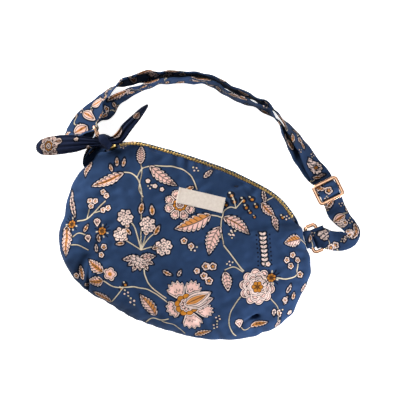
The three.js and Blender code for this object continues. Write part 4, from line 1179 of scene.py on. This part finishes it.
def tape_line(degrees):
    """Outer face of the tape across the zip, and the directions out of it, for one angle."""
    stops = [(front_point, share * QUARTER, 1) for share in (5 / 7, 6 / 7, 1.0)]
    stops += [(back_point, rise, -1) for rise in (1.0, 5 / 6)]
    rows = []
    for panel, stop, outside in stops:
        at, out = panel_frame(panel, np.radians([degrees]), np.array([stop]), outside)
        rows.append((at[0] - out[0] * (CLOTH + TAPE["gap"]), out[0]))
    return rows


def zip_tape():
    sections = []
    for degrees in np.linspace(ZIP["start"] - 1, ZIP["slider"] + 3, ZIP_STEPS["tape"]):
        rows = tape_line(degrees)
        inner = [at - out * TAPE["thickness"] for at, out in rows]
        sections.append([at for at, _ in rows] + inner[::-1])
    sections = np.array(sections)
    lengths = run_lengths(sections.mean(axis=1))
    piece = sweep("zip_tape_band", sections, TAPE_CLOTH)
    count = sections.shape[1]
    across = np.tile(np.linspace(0, TAPE["width"], count), len(sections))
    along = np.repeat(lengths, count)
    set_cloth(piece, np.append(across, [0, 0]), np.append(along, [0, lengths[-1]]))
    return piece


def chain_path():
    """Middle line of the chain with its directions, sampled closely, and the lengths along it."""
    middles, across = [], []
    for degrees in np.linspace(ZIP["start"] + 1, ZIP["end"], ZIP_STEPS["chain"]):
        rows = tape_line(degrees)
        on_front, on_back = rows[2][0], rows[3][0]
        middles.append(on_front + (on_back - on_front) * CHAIN["place"])
        across.append(on_back - on_front)
    middles, across = np.array(middles), unit(np.array(across))
    along = unit(np.gradient(middles, axis=0))
    outs = unit(np.cross(across, along))
    outs *= np.where(outs[:, 2] < 0, -1.0, 1.0)[:, None]
    return (middles, along, across, outs), run_lengths(middles)


def zip_chain():
    """Separate teeth that mesh from the two sides in turn."""
    path, lengths = chain_path()
    points, faces = [], []
    levels = [(0.0, 0.46, 1.0), (0.62, 0.46, 1.0), (1.0, 0.3, 0.82)]  # height share, half length, width share
    block = [[0, 1, 2, 3], [8, 9, 10, 11]]
    for level in (0, 4):
        for a, b in [(0, 1), (1, 2), (2, 3), (3, 0)]:
            block.append([level + a, level + b, level + 4 + b, level + 4 + a])
    for tooth in range(int(lengths[-1] / CHAIN["pitch"])):
        s = (tooth + 0.5) * CHAIN["pitch"]
        middle, ahead, side, out = (
            np.array([np.interp(s, lengths, values[:, k]) for k in range(3)]) for values in path)
        hand = 1 if tooth % 2 else -1
        faces += [[len(points) + k for k in f] for f in block]
        for rise, half_long, wide in levels:
            low, high = -0.5 * hand, CHAIN["width"] / 2 * hand * wide
            for a, b in ((-half_long, low), (half_long, low), (half_long, high), (-half_long, high)):
                points.append(middle + ahead * a + side * b + out * (GAP + rise * CHAIN["height"]))
    piece = make_mesh("zip_chain", points, faces, BRASS, smooth_faces=False)
    bevel = piece.modifiers.new("edges", "BEVEL")
    bevel.width = BEVEL
    bevel.segments = 1
    return piece


def stitches(name, threads, shape, material):
    """Short threads, each a spindle with a start, an end and a direction up."""
    points, faces = [], []
    shares = (0.0, 0.25, 0.5, 0.75, 1.0)
    size = len(shares), THREAD_SIDES
    for start, end, lift in threads:
        side = unit(np.cross(unit(end - start), lift))
        faces += skin_faces(*size, first=len(points)) + flat_caps(*size, first=len(points))
        for share in shares:
            radius = shape["radius"] * math.sin(math.pi * (0.15 + 0.7 * share))
            centre = start + (end - start) * share + lift * shape["sag"] * (4 * share * (1 - share))
            for a in angles(THREAD_SIDES):
                points.append(centre + radius * (math.cos(a) * side + math.sin(a) * lift))
    piece = make_mesh(name, points, faces, material)
    set_cloth(piece, *np.array(points).T[:2])
    return piece


def zip_stitches():
    """Top stitching along the cloth edge of the zip."""
    turns = np.radians(np.linspace(ZIP["start"] + 1, ZIP["slider"] - 3, ZIP_STEPS["seam"]))
    at, out = panel_frame(front_point, turns, np.full(len(turns), ZIP_STITCH["stop"] * QUARTER), 1)
    at = at + out * front_relief(at, turns, np.full(len(turns), ZIP_STITCH["share"]))[:, None]
    lengths = run_lengths(at)
    on_cloth = at + out * ZIP_STITCH["lift"]
    threads = []
    for s in np.arange(1, lengths[-1] - ZIP_STITCH["apart"], ZIP_STITCH["apart"]):
        i, j = np.searchsorted(lengths, [s, s + ZIP_STITCH["length"]])
        threads.append((on_cloth[i], on_cloth[j], out[i]))
    return stitches("zip_stitches", threads, ZIP_STITCH, THREAD)


# Label

def label_piece():
    columns, rows = LABEL_GRID
    long, wide = direction(LABEL["turn"]), direction(LABEL["turn"] + 90)
    shares = (np.linspace(-0.5, 0.5, n + 1) for n in (columns, rows))
    along, across = np.meshgrid(*shares, indexing="ij")
    bow = 1 - 0.02 * np.cos(math.pi * along)
    u, v = along * LABEL["length"], across * LABEL["width"] * bow
    x = LABEL["x"] + long[0] * u + wide[0] * v
    y = LABEL["y"] + long[1] * u + wide[1] * v
    step = 1.5
    slope_x = (front_over(x + step, y) - front_over(x - step, y)) / (2 * step)
    slope_y = (front_over(x, y + step) - front_over(x, y - step)) / (2 * step)
    out = unit(np.stack([-slope_x, -slope_y, np.ones_like(x)], axis=-1))
    base = np.stack([x, y, front_over(x, y)], axis=-1)
    free_edge = smooth(0.36, 0.5, np.abs(across)) * bell(along / 0.3)
    wave = 0.5 * free_edge + 0.12 * np.sin(u * 0.35) * free_edge
    thick = LABEL["thickness"] * (1 - 0.35 * smooth(0.47, 0.5, np.abs(across)))
    lower = base + out * (LABEL["lift"] + wave)[..., None]
    upper = lower + out * thick[..., None]
    piece = sweep("label_cloth", np.concatenate([upper, lower[:, ::-1]], axis=1), LABEL_CLOTH)
    cloth = (np.append(np.concatenate([c, c[:, ::-1]], axis=1).ravel(), [0, 0]) for c in (u, v))
    set_cloth(piece, *cloth)
    threads = []
    on_cloth = upper + out * LABEL_STITCH["lift"]
    for end in LABEL_STITCH["ends"]:
        i = round(end * columns)
        for j in np.linspace(1.5, rows - 3.5, LABEL_STITCH["count"]).astype(int):
            threads.append((on_cloth[i, j], on_cloth[i, j + LABEL_STITCH["long"]], out[i, j]))
    return piece, stitches("label_stitches", threads, LABEL_STITCH, LABEL_THREAD)


# Straps and tabs

FITTINGS = np.array([[c["x"], c["y"]] for c in (RING_LEFT, RING_RIGHT, ADJUSTER)])


def crumples(path, lengths, stops, seed):
    """How far a strap's cloth stands off its flat, and how far its edges wander, at each stop across it."""
    draw = np.random.default_rng(seed)
    calm = np.ones(len(path))
    for centre in FITTINGS:
        calm *= smooth(CRUMPLE["calm"], CRUMPLE["full"], np.linalg.norm(path[:, :2] - centre, axis=1))
    height = np.zeros((len(path), len(stops)))
    wander = np.zeros((len(path), 1))
    for _ in range(CRUMPLE["count"]):
        wave_length, slant = draw.uniform(15, 34), draw.uniform(-2.4, 2.4)
        phase = CIRCLE * lengths[:, None] / wave_length + draw.uniform(0, CIRCLE)
        height += np.sin(phase + slant * stops[None, :])
        wander += np.sin(phase * 0.7)
    scale = calm[:, None] / math.sqrt(CRUMPLE["count"])
    return height * scale * CRUMPLE["height"], wander * scale * CRUMPLE["edge"]


def band_sections(stations, width, count, across, spread, skewed=False, wave_seed=None):
    """Sections of a flat band with round edges through its stations, and its cloth coordinates."""
    places, sides = (np.array(column, float) for column in zip(*stations))
    path = catmull(places, count)
    reach = np.linspace(0, len(places) - 1, count)
    low = np.minimum(reach.astype(int), len(places) - 2)
    t = (reach - low)[:, None]
    side = unit(sides[low] * (1 - t) + sides[low + 1] * t)
    along = unit(np.gradient(path, axis=0))
    if not skewed:
        side = unit(side - along * np.sum(side * along, axis=1, keepdims=True))
    face = unit(np.cross(along, side))
    lengths = run_lengths(path)
    stops = np.sin(np.linspace(-1, 1, across) * QUARTER)
    half = STRAP["thickness"] / 2 * (1 - np.abs(stops) ** 8) ** 0.5
    loop_stop = np.concatenate([stops, stops[-2:0:-1]])
    loop_up = np.concatenate([half, -half[-2:0:-1]])
    wave, wander = np.zeros((count, len(loop_stop))), np.zeros((count, 1))
    if wave_seed is not None:
        wave, wander = crumples(path, lengths, loop_stop, wave_seed)
    aside = loop_stop * width / 2 + wander * np.abs(loop_stop) * loop_stop
    points = path[:, None, :] + side[:, None, :] * aside[:, :, None]
    points += face[:, None, :] * (loop_up[None, :] + wave)[:, :, None]
    for x, y, reach_of, hand, *push in spread:
        near = bell(np.hypot(path[:, 0] - x, path[:, 1] - y) / reach_of)
        share = np.maximum(loop_stop * hand, 0) ** 1.5
        points += near[:, None, None] * share[None, :, None] * np.array(push)
    points[..., 2] = np.maximum(points[..., 2], FLOOR_CLEAR)
    cloth_across = np.tile(loop_stop * width / 2, (count, 1))
    return points, cloth_across, np.tile(lengths[:, None], (1, len(loop_stop)))


# Runs of the strap: places along its middle, each with the direction across it

def edge_stations(run, hand):
    """A run given by the strap's lower edge. hand is 1 where the bag is on its right, and -1 on its left."""
    stations = []
    for i, (x, y, z, lean) in enumerate(run):
        before, after = run[max(0, i - 1)], run[min(len(run) - 1, i + 1)]
        along = unit(np.array([after[0] - before[0], after[1] - before[1], 0.0]))
        a = math.radians(lean)
        side = np.array([along[1], -along[0], 0.0]) * hand * math.cos(a) + UP * math.sin(a)
        lift = STRAP["thickness"] / 2 * abs(math.cos(a))
        stations.append((np.array([x, y, z + lift]) + side * STRAP["width"] / 2, side))
    return stations


def adjuster_stations(rows):
    along, side = direction(ADJUSTER["heading"]), direction(ADJUSTER["heading"] - 90)
    return [(centre_of(ADJUSTER) + along * s + UP * z, side) for s, z in rows]


def left_ring_turn():
    along, outside = direction(RING_LEFT["heading"]), direction(RING_LEFT["heading"] - 90)
    height = GAP + WIRE + RING["rest"] + STRAP["width"] / 2
    bar = centre_of(RING_LEFT, height) - along * HALF_RING
    lead = 4
    places = [bar - outside * WRAP - along * lead]
    for a in np.linspace(0, QUARTER, 4):
        places.append(bar - outside * math.cos(a) * WRAP + along * math.sin(a) * WRAP)
    places.append(bar + along * WRAP + outside * lead)
    return [(place, UP) for place in places]


def last_stations():
    stations = []
    for x, y, z, side, tip in LAST_RUN:
        a = math.radians(tip)
        stations.append((np.array([x, y, z]), direction(side) * math.cos(a) + UP * math.sin(a)))
    return stations


def right_ring_turn():
    along, bars = direction(RING_RIGHT["heading"]), direction(RING_RIGHT["heading"] - 90)
    far = centre_of(RING_RIGHT) + along * HALF_RING + bars * STRAP_END["shift"]
    turn = far - along * STRAP_END["inside"]
    places = [far + UP * WRAP]
    for a in np.linspace(0, math.pi, 5):
        places.append(turn + UP * math.cos(a) * WRAP - along * math.sin(a) * WRAP)
    places.append(far - UP * WRAP)
    end = turn + along * STRAP_END["past"] + UP * (STRAP_END["drop"] - WRAP)
    return [(place, -bars) for place in places] + [(end, direction(STRAP_END["side"]))]


def cloth_band(name, band, seed, motifs=()):
    sections, across, along = band
    piece = sweep(name, sections, SHADED_BAND_COTTON)
    half = along.max() / 2
    x, y = np.append(across.ravel(), [0, 0]), np.append(along.ravel(), [along.min(), along.max()])
    set_cloth(piece, x, y)
    sheet = Print(x, y - half)
    scatter(sheet, STRAP["width"] / 2, half, BAND_SPACING, seed, big=False)
    placed(sheet, sections.reshape(-1, 3), across.ravel(), along.ravel() - half, motifs)
    sheet.apply(piece)
    return piece


def strap_piece():
    stations = adjuster_stations(SEWN_END) + edge_stations(INNER_RUN, -1) + left_ring_turn()
    stations += edge_stations(OUTER_RUN, 1) + adjuster_stations(OVER_BAR)
    stations += last_stations() + right_ring_turn()
    count = (len(stations) - 1) * BAND_STEPS["strap"] + 1
    across = BAND_STEPS["strap_across"]
    band = band_sections(stations, STRAP["width"], count, across, STRAP_SPREAD, wave_seed=CRUMPLE["seed"])
    return cloth_band("strap_cloth", band, BAND_SEEDS["strap"], STRAP_MOTIFS)


def tab_piece(name, bar, bar_axis, leaves, seed):
    """A loop of cloth from the seam round a ring's bar and back."""
    turn = math.radians(leaves["angle"])

    def edge(at):
        return direction(math.degrees(at)) * float(outline_radius(np.array([at]))[0])

    small = 0.05
    seam_side = unit(edge(turn + small) - edge(turn - small))
    outward = np.cross(seam_side, UP)
    if seam_side @ bar_axis < 0:
        seam_side = -seam_side
    seam = edge(turn) + outward * leaves["clear"] + UP * float(seam_height(np.array([turn]))[0])
    bend = seam + outward * TAB["lead"]
    back_way = bend - bar
    back_way = unit(back_way - bar_axis * (back_way @ bar_axis))
    seam_face, bar_face = np.cross(outward, seam_side), np.cross(bar_axis, back_way)
    layer = STRAP["thickness"] / 2 + GAP

    def leg(sign):
        rows = []
        for share in (0, 0.25, 0.5, 0.75):
            face = unit(seam_face * (1 - share) + bar_face * share)
            apart = layer + (WRAP - layer) * share
            at = seam * (1 - share) ** 2 + bend * 2 * share * (1 - share) + bar * share ** 2
            rows.append((at + face * sign * apart, unit(seam_side * (1 - share) + bar_axis * share)))
        return rows

    around = []
    for a in np.linspace(0, math.pi, 5):
        around.append((bar - bar_face * math.cos(a) * WRAP - back_way * math.sin(a) * WRAP, bar_axis))
    stations = leg(-1) + around + leg(1)[::-1]
    count, across = BAND_STEPS["tab"], BAND_STEPS["tab_across"]
    band = band_sections(stations, TAB["width"], count, across, TAB_SPREAD, skewed=True)
    return cloth_band(name, band, seed)


# The knotted tie

def tail_sections(rows, folds, seed):
    """Sections of a tail, gathered at the knot and flatter at its end, and its cloth coordinates."""
    rows = np.array(rows, float)
    count = (len(rows) - 1) * BAND_STEPS["tail"] + 1
    path = catmull(rows[:, :3], count)
    reach = np.linspace(0, len(rows) - 1, count)
    width, arch = (np.interp(reach, np.arange(len(rows)), rows[:, k])[:, None] for k in (3, 4))
    along = unit(np.gradient(path, axis=0))
    side = unit(np.cross(along, UP))
    face = np.cross(side, along)[:, None, :]
    stops = np.sin(np.linspace(-1, 1, BAND_STEPS["tail_across"]) * QUARTER)[None, :]
    lengths = run_lengths(path)[:, None]
    share = lengths / lengths[-1]
    rise = arch * (1 - stops ** 2)
    gathers = (1 - 0.75 * smooth(0.2, 0.85, share)) * 1.2 * np.cos(stops * math.pi * folds + seed)
    drape = 0.5 * np.sin(share * 9 + seed) * stops ** 2 * smooth(0.1, 0.5, share)
    thick = TAIL_THICKNESS / 2 * (1 - 0.55 * np.abs(stops) ** 3)
    cloth = stops * width / 2
    middle = path[:, None, :] + side[:, None, :] * cloth[..., None]
    middle += (rise + gathers + drape)[..., None] * face
    upper, lower = middle + face * thick[..., None], middle - face * thick[..., None]
    across = np.concatenate([cloth, cloth[:, ::-1]], axis=1)
    return np.concatenate([upper, lower[:, ::-1]], axis=1), across, np.tile(lengths, (1, across.shape[1]))


def knot_part(radii, seed, turn, tube=None):
    """A closed ball of cloth, or a wrap round it where tube is given, with creases running round."""
    rings, count = KNOT_GRID
    a = np.array(angles(count))[None, :]
    if tube is None:
        b = math.pi * (np.arange(rings)[:, None] + 0.5) / rings
        crease = 1 + 0.06 * np.cos(6 * b + 2 * np.sin(a + seed)) + 0.03 * np.sin(5 * a + 3 * b)
        x, y, z = np.sin(b) * np.cos(a) * crease, np.sin(b) * np.sin(a) * crease, np.cos(b) * crease
        x, y, z = x * radii[0], y * radii[1], z * radii[2]
    else:
        b = np.array(angles(rings))[:, None]
        crease = 1 + 0.10 * np.cos(3 * a + 1.5 * np.sin(b * 2 + seed)) + 0.04 * np.sin(7 * b + a)
        ring = radii[0] + tube * crease * np.cos(a)
        x, y, z = ring * np.cos(b), tube * 1.4 * crease * np.sin(a), ring * np.sin(b)
    cos, sin = math.cos(math.radians(turn)), math.sin(math.radians(turn))
    return np.stack([x * cos - y * sin, x * sin + y * cos, z], axis=-1) + centre_of(KNOT)


def tie_piece():
    """Two tails and a knot as one piece of cloth."""
    parts = []
    for rows, folds, seed, shift in ((TAIL_LEFT, 4, 0.4, 0), (TAIL_RIGHT, 3.2, 1.7, 200)):
        sections, across, along = tail_sections(rows, folds, seed)
        parts.append((sections, across, along + shift, False))
    core = knot_part(KNOT["radius"] * np.array([1.05, 1, 0.95]), 0.3, 20)
    wrap = knot_part([KNOT["band_radius"]], 1.1, -35, KNOT["band_tube"])
    for sections, shift, closed in ((core, 400, False), (wrap, 440, True)):
        rings, count = sections.shape[:2]
        u, v = np.meshgrid(np.linspace(0, 30, rings), np.linspace(-11, 11, count), indexing="ij")
        parts.append((sections, v, u + shift, closed))
    points, faces, x, y = np.empty((0, 3)), [], [], []
    for sections, across, along, closed in parts:
        size, first = sections.shape[:2], len(points)
        faces += skin_faces(*size, closed, first)
        pad = [] if closed else [0.0, 0.0]
        if closed:
            points = np.concatenate([points, sections.reshape(-1, 3)])
        else:
            points = np.concatenate([points, with_ends(sections)])
            faces += fan_caps(*size, first)
        x += [*across.ravel(), *pad]
        y += [*along.ravel(), *pad]
    piece = make_mesh("tie_cloth", points, faces, SHADED_TIE_COTTON)
    x, y = np.array(x), np.array(y)
    set_cloth(piece, x, y)
    sheet = Print(x, y - TIE_PRINT_SHIFT)
    placed(sheet, points, x, y - TIE_PRINT_SHIFT, TIE_MOTIFS)
    sheet.apply(piece)
    bpy.context.view_layer.objects.active = piece
    bpy.ops.object.mode_set(mode="EDIT")
    bpy.ops.mesh.select_all(action="SELECT")
    bpy.ops.mesh.normals_make_consistent(inside=False)
    bpy.ops.object.mode_set(mode="OBJECT")
    return piece


# Metal fittings

def ring_wire(name, x_axis, y_axis, normal, centre, size, bar=False, broad=1.0):
    """A rounded rectangle of wire, broad times as wide as high, with a bar across its middle where asked."""
    flat = rounded_rectangle(size["length"] - WIRE, size["width"] - WIRE, size["corner"])
    path = centre + flat[:, :1] * x_axis + flat[:, 1:] * y_axis
    radius = WIRE / 2 - WIRE_CLEAR
    around = angles(WIRE_SIDES)
    side = unit(np.cross(unit(np.roll(path, -1, axis=0) - np.roll(path, 1, axis=0)), normal))
    rings = [path + radius * (math.cos(a) * side * broad + math.sin(a) * normal) for a in around]
    points = np.stack(rings, axis=1).reshape(-1, 3)
    faces = skin_faces(len(path), WIRE_SIDES, joined=True)
    if bar:
        shares = np.linspace(-1, 1, 9)
        count = len(shares), WIRE_SIDES
        faces += skin_faces(*count, first=len(points)) + flat_caps(*count, first=len(points))
        more = []
        for share in shares:
            middle = centre + y_axis * (size["width"] - WIRE) / 2 * share
            thick = radius * (1 + 0.04 * abs(share) ** 3)
            more += [middle + thick * (math.cos(a) * x_axis + math.sin(a) * normal) for a in around]
        points = np.concatenate([points, more])
    return face_outward(make_mesh(name, points, faces, ROSE))


tape = zip_tape()
chain = zip_chain()
zip_seam = zip_stitches()
label, label_seam = label_piece()
strap = strap_piece()
tie = tie_piece()

left_heading = direction(RING_LEFT["heading"])
left_centre = centre_of(RING_LEFT, GAP + RING["length"] / 2)
ring_left = ring_wire("ring_left_wire", UP, left_heading, np.cross(UP, left_heading), left_centre, RING)
left_bar = left_centre + left_heading * HALF_RING
tab_left = tab_piece("tab_left_cloth", left_bar, UP, TAB_LEFT, BAND_SEEDS["tab_left"])

right_heading, right_bars = direction(RING_RIGHT["heading"]), direction(RING_RIGHT["heading"] - 90)
right_centre = centre_of(RING_RIGHT)
ring_right = ring_wire("ring_right_wire", right_bars, right_heading, UP, right_centre, RING, broad=1.5)
right_bar = right_centre - right_heading * HALF_RING
tab_right = tab_piece("tab_right_cloth", right_bar, -right_bars, TAB_RIGHT, BAND_SEEDS["tab_right"])

adjuster = ring_wire(
    "adjuster_wire", direction(ADJUSTER["heading"]), direction(ADJUSTER["heading"] + 90), UP,
    centre_of(ADJUSTER), ADJUSTER, bar=True, broad=1.6)

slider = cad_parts["zip_slider"]
slider.data.materials.clear()
slider.data.materials.append(BRASS)

# Everything belongs to the one body, and stands for a solid or lies on one

PIECES = [
    (front, "bag_front", "printed_cotton"),
    (back, "bag_back", "printed_cotton"),
    (tape, "zip_tape", "zip_tape"),
    (chain, "zip_teeth", "zip_brass"),
    (zip_seam, None, "printed_cotton"),
    (label, "label", "label_cotton"),
    (label_seam, None, "label_cotton"),
    (strap, "strap", "printed_cotton"),
    (tie, "zip_tie", "printed_cotton"),
    (tab_left, "tab_left", "printed_cotton"),
    (tab_right, "tab_right", "printed_cotton"),
    (ring_left, "ring_left", "rose_gold"),
    (ring_right, "ring_right", "rose_gold"),
    (adjuster, "strap_slider", "rose_gold"),
]
for piece, node, slot in PIECES:
    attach(piece, "root")
    if node:
        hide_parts(node)

# Floor, light and camera

scene = bpy.context.scene
floor_mesh = bpy.data.meshes.new("floor")
corners = [(side_x * FLOOR["reach"], side_y * FLOOR["reach"], 0) for side_x, side_y in FLOOR["corners"]]
floor_mesh.from_pydata(corners, [], [(0, 1, 2, 3)])
floor = bpy.data.objects.new("floor", floor_mesh)
scene.collection.objects.link(floor)
floor_paint = Paint("pale_floor", {
    "Roughness": 0.8, "Specular IOR Level": 0.1, "Base Color": FLOOR["colour"],
    "Emission Color": (1, 1, 1, 1), "Emission Strength": FLOOR["glow"],
})
floor_mesh.materials.append(floor_paint.material)
floor.visible_diffuse = False

scene.view_settings.view_transform = "Standard"
world = bpy.data.worlds.new("studio")
world.use_nodes = True
background = world.node_tree.nodes["Background"].inputs
background["Color"].default_value = WORLD["colour"]
background["Strength"].default_value = WORLD["strength"]
scene.world = world

for name, place, size, power, colour in LIGHTS:
    data = bpy.data.lights.new(name, "AREA")
    data.size = size
    data.energy = power
    data.color = colour
    light = bpy.data.objects.new(name, data)
    scene.collection.objects.link(light)
    light.location = place
    aim = -np.array(place)
    tip = math.acos(-aim[2] / np.linalg.norm(aim))
    light.rotation_euler = (tip, 0, math.atan2(aim[1], aim[0]) - QUARTER)
    # The card over the bag only shows in what shines
    light.visible_diffuse = name != "card"

camera_data = bpy.data.cameras.new("camera")
camera = bpy.data.objects.new("camera", camera_data)
scene.collection.objects.link(camera)
camera.location = (PICTURE["x"] * MM, PICTURE["y"] * MM, PICTURE["height"] * MM)
camera.rotation_euler = (0, 0, math.radians(PICTURE["turn"]))
camera_data.sensor_width = SENSOR
camera_data.lens = SENSOR * PICTURE["height"] / (PICTURE["side"] * PICTURE["floor_scale"])
camera_data.clip_end = 20
scene.camera = camera

bpy.context.view_layer.update()
